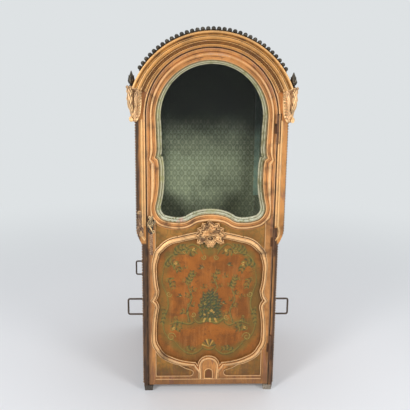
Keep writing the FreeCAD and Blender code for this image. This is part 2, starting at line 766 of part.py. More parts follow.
# ---------------------------------------------------------------- pole staples
def build_staples(side, name):
    """Two forged loops on plates, for the carrying pole of one side."""
    bar = n(s["staple_bar"])
    wall = n(lower_half)
    reach = n(s["staple_reach"]) - bar / 2
    low = n(s["staple_low"]) + bar / 2
    high = low + n(s["staple_tall"]) - bar
    bend = bar
    loops = []
    for end in (-1, 1):
        along = end * n(s["staple_place"])
        def at(out, up):
            return FreeCAD.Vector(side * (wall + out), along, up)
        turn = bend * (1 - math.sqrt(0.5))
        path = Part.Wire([
            Part.LineSegment(at(0, low), at(reach - bend, low)).toShape(),
            Part.Arc(at(reach - bend, low), at(reach - turn, low + turn), at(reach, low + bend)).toShape(),
            Part.LineSegment(at(reach, low + bend), at(reach, high - bend)).toShape(),
            Part.Arc(at(reach, high - bend), at(reach - turn, high - turn), at(reach - bend, high)).toShape(),
            Part.LineSegment(at(reach - bend, high), at(0, high)).toShape(),
        ])
        ring = Part.Wire([Part.makeCircle(bar / 2, at(0, low), FreeCAD.Vector(1, 0, 0))])
        loop = path.makePipeShell([ring], True, False)
        thick = n(s["plate_thick"])
        plate = Part.makeBox(thick, 2.4 * bar, n(s["staple_tall"]) + 3 * bar,
                             FreeCAD.Vector(min(side * wall, side * (wall + thick)), along - 1.2 * bar,
                                            low - 2 * bar))
        loops.append(loop.fuse(plate))
    shaped(f"pole_staples_{name}", Part.makeCompound(loops))


# ---------------------------------------------------------------- the door
def fan(root, reach, ribs, spread, aim):
    """Ribs that fan from a root in the face plane, cones with round tips, about the angle aim from upright."""
    step = 2 * spread / (ribs - 1)
    parts = []
    for place in range(ribs):
        lean = spread - step * place
        way = FreeCAD.Vector(math.sin(lean + aim), 0, math.cos(lean + aim))
        length = reach * (0.72 + 0.28 * math.cos(lean))
        tip = length * math.tan(step / 2) * 0.95
        middle = length - tip
        parts.append(Part.makeCone(tip * 0.2, tip, middle, root, way))
        parts.append(Part.makeSphere(tip, root + way * middle))
    return parts


def shell_solid():
    """The carved shell between window and panel: ribs above, a rosette at each side and a pendant leaf."""
    face = -n(front)
    high = n(s["shell_high"])
    ground_high = n(s["bead_high"]) + 1
    root = FreeCAD.Vector(0, face, n(shell_root))
    spread = math.radians(n(s["shell_spread"]))
    parts = fan(root, n(s["shell_tall"]), int(round(n(s["shell_ribs"]))), spread, 0)
    parts += fan(root, n(s["shell_low"]), 3, spread * 0.4, math.pi)
    radius = n(s["rosette_radius"])
    for side in (-1, 1):
        middle = FreeCAD.Vector(side * n(s["rosette_place"]), face, n(shell_root))
        parts.append(Part.makeCone(radius, radius * 0.55, high * 0.8, middle, FreeCAD.Vector(0, -1, 0)))
        parts.append(Part.makeSphere(radius * 0.4, middle - FreeCAD.Vector(0, high * 0.7, 0)))
    ground = [(-s["rosette_place"], shell_root - s["rosette_radius"] / 2, -6),
              (size(0), shell_root - s["shell_low"] * 0.8, -6),
              (s["rosette_place"], shell_root - s["rosette_radius"] / 2, 6),
              (s["rosette_place"], shell_root + s["rosette_radius"] * 0.6, 22),
              (-s["rosette_place"], shell_root + s["rosette_radius"] * 0.6, 6)]
    parts.append(Part.makeSphere(high, root))
    solid = front_slab(face_of(ground), face - ground_high, face).fuse(parts)
    wide = n(s["door_half"])
    behind = Part.makeBox(2 * wide, wide, 2 * wide, FreeCAD.Vector(-wide, face, n(shell_root) - wide))
    before = Part.makeBox(2 * wide, wide, 2 * wide, FreeCAD.Vector(-wide, face - high - wide, n(shell_root) - wide))
    return solid.cut([behind, before])


def spandrel_faces(window, panel):
    """The sunk fields round the mouldings: two over the painted panel's shoulders, two in its lower corners."""
    edge = s["stile_edge"]
    rim = s["bead_wide"] + 4
    upper = face_of(rectangle(-edge, edge, panel_high - 90, s["sight_sill"] + 40))
    upper = upper.cut([grown(window, s["bead_wide"] + 13), grown(panel, rim)])
    lobe = s["lobe_radius"]
    low = s["rail_low"]
    inner = s["tongue_half"] + 24 + lobe
    lower = face_of(rectangle(inner, edge, low, low + 130))
    lower = lower.fuse(Part.Face(Part.Wire(Part.makeCircle(n(lobe), FreeCAD.Vector(n(inner), n(low + lobe), 0)))))
    lower = lower.cut(grown(panel, rim)).removeSplitter()
    other = lower.mirror(FreeCAD.Vector(0, 0, 0), FreeCAD.Vector(1, 0, 0))
    fields = [face for shape in (upper, lower, other) for face in shape.Faces]
    smallest = n(edge) * 10
    return [face for face in fields if face.Area > smallest]


def window_band(window, inset):
    """The ground of the window's moulding: an even band round the sill, and straight-edged up the stiles."""
    straight = s["door_half"] - s["stile_flat"] - inset
    rows = [
        (-straight, s["sight_sill"] + 74, 0),
        (straight, s["sight_sill"] + 74, 0),
        (straight, s["arch_rise"], straight * ARCH_BOW),
        (size(0), s["arch_rise"] + straight, straight * ARCH_BOW),
        (-straight, s["arch_rise"], 0),
    ]
    return grown(window, s["bead_wide"] + 9 - inset).fuse(face_of(rows)).removeSplitter()


def build_door():
    """The door's frame, sunk panel, mouldings, painted trim, pane and carved shell."""
    window = window_face()
    panel = cartouche_face()
    back = -front + s["door_thick"]
    leaf = arch_slab(s["door_half"], -front, back, s["door_foot"])
    seat = s["panel_lap"]
    leaf = leaf.cut(front_slab(window, -front - 1, back + 1))
    leaf = leaf.cut(front_slab(grown(panel, seat), -front - 1, back + 1))
    for field in spandrel_faces(window, panel):
        leaf = leaf.cut(front_slab(field, -front - 1, -front + s["spandrel_sunk"]))
    shaped("door_frame", leaf)
    sunk = -front + s["panel_sunk"]
    shaped("door_panel", front_slab(grown(panel, seat), sunk, sunk + s["panel_thick"]))

    shell = shell_solid()
    shaped("door_shell", shell)
    bead = s["bead_wide"]
    high = s["bead_high"]
    base = front_slab(grown(panel, seat).cut(panel), -front, sunk)
    steps = [front_slab(grown(panel, bead - inset).cut(grown(panel, inset) if inset else panel),
                        -front - high * share, -front)
             for inset, share in ((0, 0.45), (3, 0.8), (7, 1))]
    for side in (-1, 1):
        leg = sorted((s["tongue_half"] * side, (s["tongue_half"] - bead) * side), key=n)
        steps.append(front_slab(face_of(rectangle(*leg, s["rail_low"] - 5, s["panel_low"])),
                                -front - high * 0.8, -front))
    moulding = base.fuse(steps).removeSplitter().cut(shell)
    shaped("panel_moulding", max(moulding.Solids, key=lambda solid: solid.Volume))

    layers = [front_slab(window_band(window, inset).cut(grown(window, 1 + inset)), -front - high * share, -front)
              for inset, share in ((0, 0.35), (2, 0.7), (6, 1))]
    band = layers[0].fuse(layers[1:]).removeSplitter().cut(shell)
    shaped("window_moulding", max(band.Solids, key=lambda solid: solid.Volume))
    trim = window.cut(grown(window, -s["trim_wide"]))
    trim_face = -front + s["trim_sunk"]
    shaped("door_trim", front_slab(trim, trim_face, trim_face + s["trim_thick"]))
    pane = trim_face + s["trim_thick"]
    shaped("door_glass", front_slab(window, pane, pane + s["glass_thick"]))


def build_handle():
    """The lock plate on the free stile, and over it a pierced scroll handle on a rose."""
    face = -n(front)
    place = -(s["door_half"] - s["lock_place"])
    half = s["lock_wide"] / 2
    boxed("lock_plate", (place - half, place + half), (-front - s["plate_thick"], -front),
          (lock_low, lock_low + s["lock_tall"]))
    low = n(lock_low + s["lock_tall"]) + 2
    tall = n(s["handle_tall"])
    x = n(place)
    wire = n(s["handle_wire"])
    away = face - n(s["bead_high"]) - wire - 1
    curls = []
    for up, across, radius in HANDLE_CURLS:
        middle = FreeCAD.Vector(x + across * tall, away, low + up * tall)
        curls.append(Part.makeTorus(radius * tall, wire, middle, FreeCAD.Vector(0, 1, 0)))
    stem = Part.makeCone(wire * 0.8, wire * 1.3, tall * 0.9, FreeCAD.Vector(x, away, low + tall * 0.05),
                         FreeCAD.Vector(0, 0, 1))
    feet = [Part.makeCylinder(wire * 1.2, face - away, FreeCAD.Vector(x, away, low + share * tall),
                              FreeCAD.Vector(0, 1, 0)) for share in (0.15, 0.5)]
    shaped("door_handle", stem.fuse(curls + feet))


def build_hinges():
    """Three hinges: plates and knuckles, outer knuckles with the pin on the post, middle one on the door."""
    tall = n(s["hinge_tall"])
    ball = n(s["knuckle_radius"])
    pin = n(s["pin_radius"])
    play = n(s["pin_play"])
    thick = n(s["plate_thick"])
    x = n(hinge_x)
    y = n(hinge_y)
    face = -n(front)
    flat = n(s["stile_flat"]) - 1
    fixed = []
    moving = []
    for low in (n(s["hinge_low"]), n(s["hinge_middle"]), n(s["hinge_high"])):
        third = tall / 3
        stack = [(low, third - play), (low + third, third), (low + 2 * third + play, third - play)]
        posts = []
        for place, (foot, length) in enumerate(stack):
            barrel = Part.makeCylinder(ball, length, FreeCAD.Vector(x, y, foot))
            side = -1 if place == 1 else 1
            web = Part.makeBox(thick, face - y, length,
                               FreeCAD.Vector(x + (1 if side > 0 else -1 - thick), y, foot))
            if place == 1:
                bore = Part.makeCylinder(pin + play, length, FreeCAD.Vector(x, y, foot))
                start = n(s["door_half"]) - flat
                leaf = Part.makeBox(flat + 2.5, thick, length, FreeCAD.Vector(start, face - thick, foot))
                moving.append(barrel.fuse([web, leaf]).cut(bore))
            else:
                posts += [barrel, web]
        posts.append(Part.makeCylinder(pin, tall, FreeCAD.Vector(x, y, low)))
        leaf = Part.makeBox(16, thick, tall, FreeCAD.Vector(x + 1, face - thick, low))
        gap = Part.makeBox(thick + 2, thick + 1, third, FreeCAD.Vector(x, face - thick - 1, low + third))
        posts.append(leaf.cut(gap))
        fixed.append(posts[0].fuse(posts[1:]))
    shaped("hinge_posts", Part.makeCompound(fixed))
    shaped("hinge_leaves", Part.makeCompound(moving))


# ---------------------------------------------------------------- assembly
build_feet()
build_base()
for side, hand in ((-1, "left"), (1, "right")):
    for end, name in ((-1, "front"), (1, "rear")):
        build_post(f"post_{name}_{hand}", side, end)
    build_side(side, hand)
    build_side_cornice(side, hand)
    build_staples(side, hand)
for end, name in ((-1, "front"), (1, "rear")):
    build_head(f"head_{name}", end)
    build_cornice(f"cornice_{name}", end)
build_rear()
build_roof()
build_linings()
build_knobs()
build_corners()
build_seat()
build_door()
build_handle()
build_hinges()
doc.recompute()

# ---------------------------------------------------------------- check and write
faults = [item.Name for item in doc.Objects if "Invalid" in item.State or "Error" in item.State]
pieces = [item for item in doc.Objects
          if item.isDerivedFrom("PartDesign::Body") or item.TypeId in ("Part::Box", "Part::Feature")]
faults += [piece.Label for piece in pieces if piece.Shape.isNull() or not piece.Shape.isValid()]
if faults:
    raise RuntimeError(f"failed objects: {faults}")

os.makedirs("parts", exist_ok=True)
for piece in pieces:
    piece.Shape.exportStep(f"parts/{piece.Label}.step")
    print(piece.Label, len(piece.Shape.Solids), round(piece.Shape.Volume / 1e3), "cm3")
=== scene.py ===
"""Sedan chair, dressed over its CAD frame: carved mouldings, painted boards, damask, bronze and leather.

Lengths in the tables are millimetres; a surface becomes metres when its points reach a mesh.
Across is X seen from the front and Y seen from a side, and up is Z.
"""
import inspect
import math

import bmesh
import bpy
import numpy as np
from mathutils import Matrix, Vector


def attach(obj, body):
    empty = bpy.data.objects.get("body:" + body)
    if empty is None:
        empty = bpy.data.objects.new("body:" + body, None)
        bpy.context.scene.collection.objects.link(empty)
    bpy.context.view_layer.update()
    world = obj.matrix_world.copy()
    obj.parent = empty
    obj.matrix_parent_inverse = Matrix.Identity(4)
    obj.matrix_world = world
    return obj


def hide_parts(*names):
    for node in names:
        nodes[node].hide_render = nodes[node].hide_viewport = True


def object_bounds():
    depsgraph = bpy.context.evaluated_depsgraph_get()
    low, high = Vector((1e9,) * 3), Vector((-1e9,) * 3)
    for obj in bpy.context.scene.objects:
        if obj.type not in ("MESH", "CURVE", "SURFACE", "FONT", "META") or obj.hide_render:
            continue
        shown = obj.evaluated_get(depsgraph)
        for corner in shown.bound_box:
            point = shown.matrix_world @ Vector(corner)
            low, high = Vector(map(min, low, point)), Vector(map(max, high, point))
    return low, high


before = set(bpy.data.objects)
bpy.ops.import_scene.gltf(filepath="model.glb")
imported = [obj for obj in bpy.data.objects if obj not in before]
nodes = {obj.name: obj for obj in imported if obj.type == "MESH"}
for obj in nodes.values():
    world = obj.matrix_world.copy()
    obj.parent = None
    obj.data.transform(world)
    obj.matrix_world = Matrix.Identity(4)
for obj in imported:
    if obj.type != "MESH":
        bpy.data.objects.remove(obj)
cad_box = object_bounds()

MM = 0.001
ARCH = 1365.0        # height of the centre of the door's arch
ROOF = 1354.0        # height of the centre of the roof's curve
END = 400.0          # the posts' and the door's faces stand at Y = -400, and the rear posts' at 400
BACK = 387.0         # the back boards' face stands at Y = 387
WIDE, NARROW = 343.0, 318.0      # X of the side faces above the elbow and below it
FACE_STEP = 1.35     # how far apart the points of a moulding's face lie
FOOT = -0.3          # a bead laid on a face is closed this far behind it
SIDES = (("left", -1), ("right", 1))
CORNERS = [(x, y) for x in (-1, 1) for y in (-1, 1)]


# ---------------- outlines and sections

def points(*parts):
    """Points from their coordinates, each an array or one number."""
    return np.stack(np.broadcast_arrays(*parts), -1)


def run_points(p, q, bulge, step):
    """Points and outward normals from p up to q on the arc whose middle stands `bulge` right of the chord.

    With half angle f = 2 atan(2 bulge / chord), the point at angle a in -f..f lies chord / 2 * sin a / sin f
    along the chord from its middle and chord / 2 * (cos a - cos f) / sin f off it.
    """
    p, q = np.array(p, float), np.array(q, float)
    chord = np.linalg.norm(q - p)
    along = (q - p) / chord
    off = np.array([along[1], -along[0]])
    count = max(2, int(round(chord / step)) + 1)
    u = np.linspace(-1, 1, count)[:, None]
    if abs(bulge) < 1e-6:
        return (p + q) / 2 + along * u * chord / 2, np.repeat(off[None], count, 0)
    f = 2 * math.atan(2 * bulge / chord)
    a = f * u
    spots = (p + q) / 2 + chord / 2 / math.sin(f) * (along * np.sin(a) + off * (np.cos(a) - math.cos(f)))
    return spots, off * np.cos(a) + along * np.sin(a)


def joined(runs, closed):
    """One path from runs of points and normals: each meeting is one point whose normal is the mitre of both."""
    spots, normals = [], []
    for i, (p, n) in enumerate(runs):
        first = normals_mitre(runs[i - 1][1][-1], n[0]) if (i or closed) else n[0]
        spots += [p[:1], p[1:-1]]
        normals += [first[None], n[1:-1]]
    if not closed:
        spots.append(runs[-1][0][-1:])
        normals.append(runs[-1][1][-1:])
    return np.concatenate(spots), np.concatenate(normals)


def normals_mitre(a, b):
    """The mitre of two unit normals: their bisector, lengthened by 1 / cos of half the angle between them."""
    m = (a + b) / np.linalg.norm(a + b)
    return m / max(0.38, float(m @ a))


def runs_of(rows, step, turn=1):
    """The runs through rows of (across, up, bulge of the run to the next row)."""
    return [run_points(a[:2], b[:2], turn * (a[2] if len(a) > 2 else 0), step) for a, b in zip(rows, rows[1:])]


def outline(rows, step=4.0):
    """Closed path of a symmetric outline from its right half."""
    right = runs_of(rows, step)
    flip = np.array([-1.0, 1.0])
    left = [(p[::-1] * flip, n[::-1] * flip) for p, n in reversed(right)]
    return joined(right + left, True)


def arch_path(radius, low, step=4.0):
    """Open path over an arch of this radius, from its right foot to its left one, with legs down to `low`."""
    a = np.linspace(0, math.pi, int(math.pi * radius / step))
    bow = points(np.cos(a), np.sin(a))
    legs = int((ARCH - low) / 12)
    right = points(radius, np.linspace(low, ARCH, legs + 1)[:-1])
    east = np.repeat([[1.0, 0.0]], legs, 0)
    spots = np.concatenate([right, bow * radius + [0, ARCH], right[::-1] * [-1, 1]])
    return spots, np.concatenate([east, bow, -east])


def line_path(*corners, step):
    """Open path through these corners, mitred at each."""
    return joined(runs_of(corners, step), False)


def section(rows):
    """The face of a moulding from rows (offset, height, bulge to the next), and how proud each point is.

    Proudness is the face's turning per length, smoothed and pressed into -1 in a groove to 1 on an edge.
    """
    parts = [spots[:-1] for spots, _ in runs_of(rows, FACE_STEP, -1)]
    face = np.concatenate(parts + [np.array([rows[-1][:2]], float)])
    way = np.diff(face, axis=0)
    angle = np.unwrap(np.arctan2(way[:, 1], way[:, 0]))
    place = np.concatenate([[0], np.cumsum(np.linalg.norm(way, axis=1))])
    turn = np.concatenate([[0], -np.diff(angle), [0]])
    near = np.exp(-((place[:, None] - place[None]) / 2.1) ** 2)
    return face, np.tanh(near @ turn / 0.8)


# ---------------- meshes

def to_mesh(name, spots, faces, body, finish, marks, replaces="", crease=40, flat=False):
    """A piece from an array of points in millimetres and one of faces, riding on a body with its finish.

    marks is a table of named arrays, one value a point, that the finish reads. A piece may replace a node, and a
    flat one is a grid whose points and faces stay as they are.
    """
    mesh = bpy.data.meshes.new(name)
    mesh.from_pydata((np.asarray(spots) * MM).tolist(), [], [list(f) for f in faces])
    for mark, values in marks.items():
        values = np.asarray(values, np.float32)
        kind = "FLOAT" if values.ndim == 1 else "FLOAT_VECTOR"
        layer = mesh.attributes.new(mark, kind, "POINT")
        layer.data.foreach_set("value" if kind == "FLOAT" else "vector", values.ravel())
    if not flat:
        work = bmesh.new()
        work.from_mesh(mesh)
        bmesh.ops.remove_doubles(work, verts=work.verts, dist=2e-6)
        bmesh.ops.dissolve_degenerate(work, edges=work.edges, dist=1e-6)
        bmesh.ops.recalc_face_normals(work, faces=work.faces)
        work.to_mesh(mesh)
        work.free()
    mesh.polygons.foreach_set("use_smooth", np.ones(len(mesh.polygons), bool))
    mesh.set_sharp_from_angle(angle=math.radians(crease))
    mesh.materials.append(finish)
    piece = bpy.data.objects.new(name, mesh)
    bpy.context.scene.collection.objects.link(piece)
    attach(piece, body)
    if replaces:
        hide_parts(replaces)
    return piece


def quads(rows, columns, wrap_rows=False, wrap_columns=False):
    """Faces of a grid of rows by columns points, closed round either way if asked."""
    i = np.arange(rows if wrap_rows else rows - 1)[:, None]
    j = np.arange(columns if wrap_columns else columns - 1)[None]
    ni, nj = (i + 1) % rows, (j + 1) % columns
    return points(i * columns + j, ni * columns + j, ni * columns + nj, i * columns + nj).reshape(-1, 4)


def front(y=END):
    """Lays (across, up, out) on a face looking forward at Y = -y."""
    return lambda a, b, h: points(a, -(y + h), b)


def rear(y=BACK):
    """Lays (across, up, out) on a face looking back at Y = y."""
    return lambda a, b, h: points(-a, y + h, b)


def flank(side, x):
    """Lays (across, up, out) on a side's face at X = side * x."""
    return lambda a, b, h: points(side * (x + h), side * a, b)


def moulding(name, path, rows, lay, body, finish, replaces="", closed=True, ground=0.0, ripple=0.0, reach=None):
    """A moulding: its section carried along a path, mitred at corners, closed behind at `ground`.

    `reach` turns the section's offsets into a table of them, one row for each point of the path. The point at
    offset t is path + t * normal. Where the path's hollow is tighter than t, the offset stops at the middle line
    t_max = min over q of |q - p|^2 / (2 n . (q - p)), so both sides meet in a mitre.
    """
    spots, normals = path
    face, proud = section(rows)
    size = np.linalg.norm(normals, axis=1)
    facing = normals / size[:, None]
    limits = []
    gap = spots[None] - spots[:, None]
    far = (gap ** 2).sum(-1)
    for way in (1.0, -1.0):
        ahead = (gap * facing[:, None] * way).sum(-1)
        limit = np.where(ahead > 1e-3 * far + 1e-9, far / (2 * ahead + 1e-12), 1e6).min(1)
        limit[size > 1.02] = 1e6
        limits.append(limit)
    t = face[:, 0][None]
    t, h = np.broadcast_arrays(reach(t) if reach else t, face[:, 1] + 0 * size[:, None])
    room = np.where(t >= 0, limits[0][:, None], -limits[1][:, None])
    cut = np.abs(t) > np.abs(room)
    t_in = np.where(cut, room, t)
    order = np.argsort(face[:, 0], kind="stable")
    over = np.stack([np.interp(now, own[order], face[order, 1]) for now, own in zip(t_in, t)])
    h_in = np.where(cut, over, h)
    t_all = np.concatenate([t_in, t_in[:, -1:], t_in[:, :1]], 1)
    h_all = np.concatenate([h_in, np.full((len(spots), 2), ground)], 1)
    if ripple:
        far = np.concatenate([[0], np.cumsum(np.linalg.norm(np.diff(spots, axis=0), axis=1))])[:, None]
        h_all = h_all + ripple * (np.sin(far / 9.7) + np.sin(far / 23.1 + 1)) * (h_all > ground + 0.5)
    flat = spots[:, None] + t_all[..., None] * normals[:, None]
    points = lay(flat[..., 0], flat[..., 1], h_all)
    rows_n, cols_n = points.shape[:2]
    faces = quads(rows_n, cols_n, closed, True)
    marks = {"proud": np.repeat(np.concatenate([proud, [0, 0]])[None], rows_n, 0).ravel()}
    if not closed:
        faces = [*faces.tolist(), list(range(cols_n)), list(range((rows_n - 1) * cols_n, rows_n * cols_n))]
    to_mesh(name, points.reshape(-1, 3), faces, body, finish, marks, replaces)


def bead(name, path, rows, body, finish, lay=front()):
    """An open moulding laid on a flat face, the door's own unless told."""
    moulding(name, path, rows, lay, body, finish, closed=False, ground=FOOT)


# ---------------- carving

def smooth_line(points, count):
    """Catmull-Rom curve through these points, as `count` points."""
    p = np.array(points, float)
    p = np.concatenate([2 * p[:1] - p[1:2], p, 2 * p[-1:] - p[-2:-1]])
    u = np.linspace(0, len(p) - 3, count)
    i = np.minimum(u.astype(int), len(p) - 4)
    f = (u - i)[:, None]
    a, b, c, d = p[i], p[i + 1], p[i + 2], p[i + 3]
    return 0.5 * (2 * b + (c - a) * f + (2 * a - 5 * b + 4 * c - d) * f ** 2 + (3 * b - a - 3 * c + d) * f ** 3)


def circle(count):
    """Angles spread evenly once round."""
    return np.linspace(0, 2 * np.pi, count, endpoint=False)


def unit(v):
    """These vectors at length 1."""
    return v / np.maximum(np.linalg.norm(v, axis=-1, keepdims=True), 1e-9)


def solid(rings):
    """A closed body from rings (rows, points of a ring, 3): its points, faces, and how proud each point is.

    Proudness is how far a point stands out of the mean of its neighbours along the normal, over their spacing.
    """
    rows, cols = rings.shape[:2]
    around = (np.roll(rings, 1, 1) + np.roll(rings, -1, 1)) / 2
    padded = np.concatenate([rings[:1], rings, rings[-1:]])
    mean = (padded[2:] + padded[:-2] + 2 * around) / 4
    normal = unit(np.cross(np.roll(rings, -1, 1) - np.roll(rings, 1, 1), padded[2:] - padded[:-2]))
    middle = rings.mean(1, keepdims=True)
    normal *= np.sign((normal * (rings - middle)).sum((1, 2), keepdims=True) + 1e-12)
    spacing = np.linalg.norm(np.roll(rings, -1, 1) - rings, axis=-1, keepdims=True).mean(1, keepdims=True) + 0.05
    proud = np.tanh(5 * ((rings - mean) * normal / spacing).sum(-1))
    faces = [*quads(rows, cols, False, True).tolist(), list(range(cols)),
             list(range((rows - 1) * cols, rows * cols))]
    return rings.reshape(-1, 3), faces, proud.ravel()


def laid(lay, rings):
    """A closed body from rings of (across, up, out) points, laid on a face."""
    return solid(lay(*np.moveaxis(rings, -1, 0)))


def bar(ring, side, low, high, count, order=(0, 1, 2)):
    """A closed bar on one side: a ring in its first two axes, run from low to high along its third."""
    ring = np.array(ring)
    return solid(points(side * ring[:, 0], ring[:, 1], np.linspace(low, high, count)[:, None])[..., order])


def gathered(name, solids, body, finish, replaces=""):
    """One piece from several closed bodies."""
    start, spots, faces, proud = 0, [], [], []
    for p, f, k in solids:
        spots.append(p)
        faces += [[i + start for i in face] for face in f]
        proud.append(k)
        start += len(p)
    to_mesh(name, np.concatenate(spots), faces, body, finish, {"proud": np.concatenate(proud)}, replaces, crease=50)


def leaf(lay, spine, wide, out=None, lobes=4, cut=0.5, cup=0.2, vein=0.1, thick=2.0, count=36, cols=15):
    """A carved leaf along a spine of (across, up, out) points, with half width `wide` at each of them.

    At u along and v across, -1 to 1, the point is spine + side * v * w + out * rise. The edge is lobed:
    w = wide * (1 - cut * |v|^3 * (1 - |cos(pi lobes (u + 0.25 |v|))|)); rise = wide * (cup * v^2 negative for a
    hollow + 0.14 * exp(-(v / 0.16)^2) + vein * |v| * cos(2 pi lobes (u + 0.25 |v|))).
    """
    line = smooth_line(spine, count)
    half = smooth_line(np.array(wide, float)[:, None], count)
    up = unit(smooth_line(out, count)) if out is not None else np.repeat([[0.0, 0.0, 1.0]], count, 0)
    along = unit(np.gradient(line, axis=0))
    side = unit(np.cross(along, up))
    up = unit(np.cross(side, along))
    u = np.linspace(0, 1, count)[:, None]
    v = np.linspace(-1, 1, cols)[None]
    turn = lobes * (u + 0.25 * np.abs(v))
    w = np.maximum(half, 0.15) * (1 - cut * np.abs(v) ** 3 * (1 - np.abs(np.cos(np.pi * turn))))
    rise = half * (-cup * v ** 2 + 0.14 * np.exp(-(v / 0.16) ** 2) + vein * np.abs(v) * np.cos(2 * np.pi * turn))
    top = line[:, None] + side[:, None] * (v * w)[..., None] + up[:, None] * rise[..., None]
    body = np.concatenate([top, (top - up[:, None] * thick)[:, ::-1]], 1)
    return laid(lay, body)


def rod(lay, line, radius, flat=1.0, sides=10, count=40, flutes=0, depth=0.0):
    """A round or flattened rod along (across, up, out) points with this radius at each; flutes groove it."""
    line = smooth_line(line, count)
    thick = np.maximum(smooth_line(np.array(radius, float)[:, None], count), 0.1)
    along = unit(np.gradient(line, axis=0))
    side = unit(np.cross(along, np.array([0.0, 0.0, 1.0]) + along * 0.01))
    up = np.cross(side, along)
    a = circle(sides)[None]
    r = thick * (1 + depth * np.cos(flutes * a))
    across, out = (r * np.cos(a))[..., None], (flat * r * np.sin(a))[..., None]
    return laid(lay, line[:, None] + side[:, None] * across + up[:, None] * out)


def curl(middle, radius, start, turns, height=0.0, shrink=0.25):
    """Points of a spiral about a middle: radius falls to `shrink` of itself over these turns, from angle start."""
    k = np.linspace(0, 1, 14)
    a = math.radians(start) + 2 * np.pi * turns * k
    r = radius * (1 - (1 - shrink) * k)
    return points(middle[0] + r * np.cos(a), middle[1] + r * np.sin(a), height).tolist()


def dome(lay, across, up, radius, height, base=0.0, sides=12, rings=6, lobes=0, depth=0.0):
    """A round boss: at share k of the radius it stands height * sqrt(1 - k^2), lobed round if asked."""
    k = np.sin(np.linspace(0, np.pi / 2, rings))[:, None]
    a = circle(sides)[None]
    r = radius * (1 + depth * np.cos(lobes * a))
    tall = np.sqrt(np.maximum(0, 1 - k ** 2))
    body = points(across + r * k * np.cos(a), up + r * k * np.sin(a), base + height * tall)
    foot = body[-1:].copy()
    foot[..., 2] = base - 0.8
    return laid(lay, np.concatenate([body, foot]))


def row_of(lay, places, radius, height):
    """Small domes, such as nails or pearls, at (across, up) places, all in one array of points."""
    sides, rings = 8, 3
    k = np.sin(np.linspace(0, np.pi / 2, rings + 1))[1:, None]
    a = circle(sides)[None]
    one = points(radius * k * np.cos(a), radius * k * np.sin(a), height * np.sqrt(1 - k ** 2))
    foot = one[-1:] - [0, 0, 0.6]
    one = np.concatenate([[[0.0, 0.0, height]], one.reshape(-1, 3), foot.reshape(-1, 3)])
    spots = one[None] + np.pad(np.asarray(places, float), ((0, 0), (0, 1)))[:, None]
    cap = [[0, 1 + i, 1 + (i + 1) % sides] for i in range(sides)]
    wall = (quads(rings + 1, sides, False, True) + 1).tolist()
    base = [list(range(1 + rings * sides, 1 + (rings + 1) * sides))]
    faces = [[i + n * len(one) for i in f] for n in range(len(spots)) for f in cap + wall + base]
    # proudness falls from 1 on top to -0.8 at the foot, so the finishes paint a highlight on top and shade at the
    # foot
    high = np.concatenate([[1.0], np.repeat(np.linspace(0.8, -0.8, rings + 1), sides)])
    spots = spots.reshape(-1, 3)
    return lay(spots[:, 0], spots[:, 1], spots[:, 2]), faces, np.tile(high, len(places))


# ---------------- finishes

def tone(red, green, blue):
    """A colour given as it looks on a screen, 0 to 255 each."""
    c = np.array([red, green, blue]) / 255
    return (*np.where(c <= 0.04045, c / 12.92, ((c + 0.055) / 1.055) ** 2.4).tolist(), 1.0)


class Wire:
    """A value in a node tree. Arithmetic on it adds the nodes that work it out."""

    def __init__(self, socket):
        self.socket, self.tree = socket, socket.id_data

    def maths(self, operation, *others, clamp=False):
        """This value and the others through one maths node."""
        return put("ShaderNodeMath", dict(enumerate([self, *others])), operation=operation, use_clamp=clamp)[0]

    def most(self, other):
        """The greater of the two values."""
        return self.maths("MAXIMUM", other)

    def __add__(self, other):
        return self.maths("ADD", other)

    def __sub__(self, other):
        return self.maths("SUBTRACT", other)

    def __rsub__(self, other):
        return self * -1.0 + other

    def __mul__(self, other):
        return self.maths("MULTIPLY", other)

    def __truediv__(self, other):
        return self.maths("DIVIDE", other)

    def __abs__(self):
        return self.maths("ABSOLUTE")


def feed(socket, value):
    """Gives an input a wire, a number or a colour."""
    if isinstance(value, Wire):
        value.tree.links.new(value.socket, socket)
    else:
        socket.default_value = value


def outlets(node):
    """A node's outputs as wires, by index and by name."""
    wires = [Wire(socket) for socket in node.outputs]
    return {**dict(enumerate(wires)), **{wire.socket.name: wire for wire in reversed(wires)}}


def put(kind, into=(), tree=None, **settings):
    """Adds a node to `tree`, or where its wires lie, with its settings and inputs, and gives its outputs."""
    into = dict(into)
    if tree is None:
        tree = next(value.tree for value in into.values() if isinstance(value, Wire))
    node = tree.nodes.new(kind)
    for key, value in settings.items():
        setattr(node, key, value)
    for key, value in into.items():
        feed(node.inputs[key], value)
    return outlets(node)


def layered(shown, *coats):
    """A colour under coats of others, each (amount, colour)."""
    for amount, colour in coats:
        shown = put("ShaderNodeMix", {0: amount, 6: shown, 7: colour}, data_type="RGBA")[2]
    return shown


def ramp(value, low, high, bottom=0.0, top=1.0):
    """A smooth step of a value from low to high."""
    ends = {"From Min": low, "From Max": high, "To Min": bottom, "To Max": top}
    return put("ShaderNodeMapRange", {"Value": value, **ends}, interpolation_type="SMOOTHSTEP")[0]


def band(value, low, high, soft=0.004):
    """1 where a value lies between low and high, with soft ends."""
    return ramp(value, low - soft, low + soft) * ramp(value, high - soft, high + soft, 1.0, 0.0)


def noise(where, scale, detail=4.0, roughness=0.55, distortion=0.0, output="Fac"):
    """Cloudy noise at a scale in features a metre."""
    into = {"Vector": where, "Scale": scale, "Detail": detail, "Roughness": roughness, "Distortion": distortion}
    return put("ShaderNodeTexNoise", into)[output]


def drawn(place, by):
    """A place with each axis multiplied, so that what lies on it is drawn out."""
    return put("ShaderNodeVectorMath", {0: place, 1: by}, operation="MULTIPLY")[0]


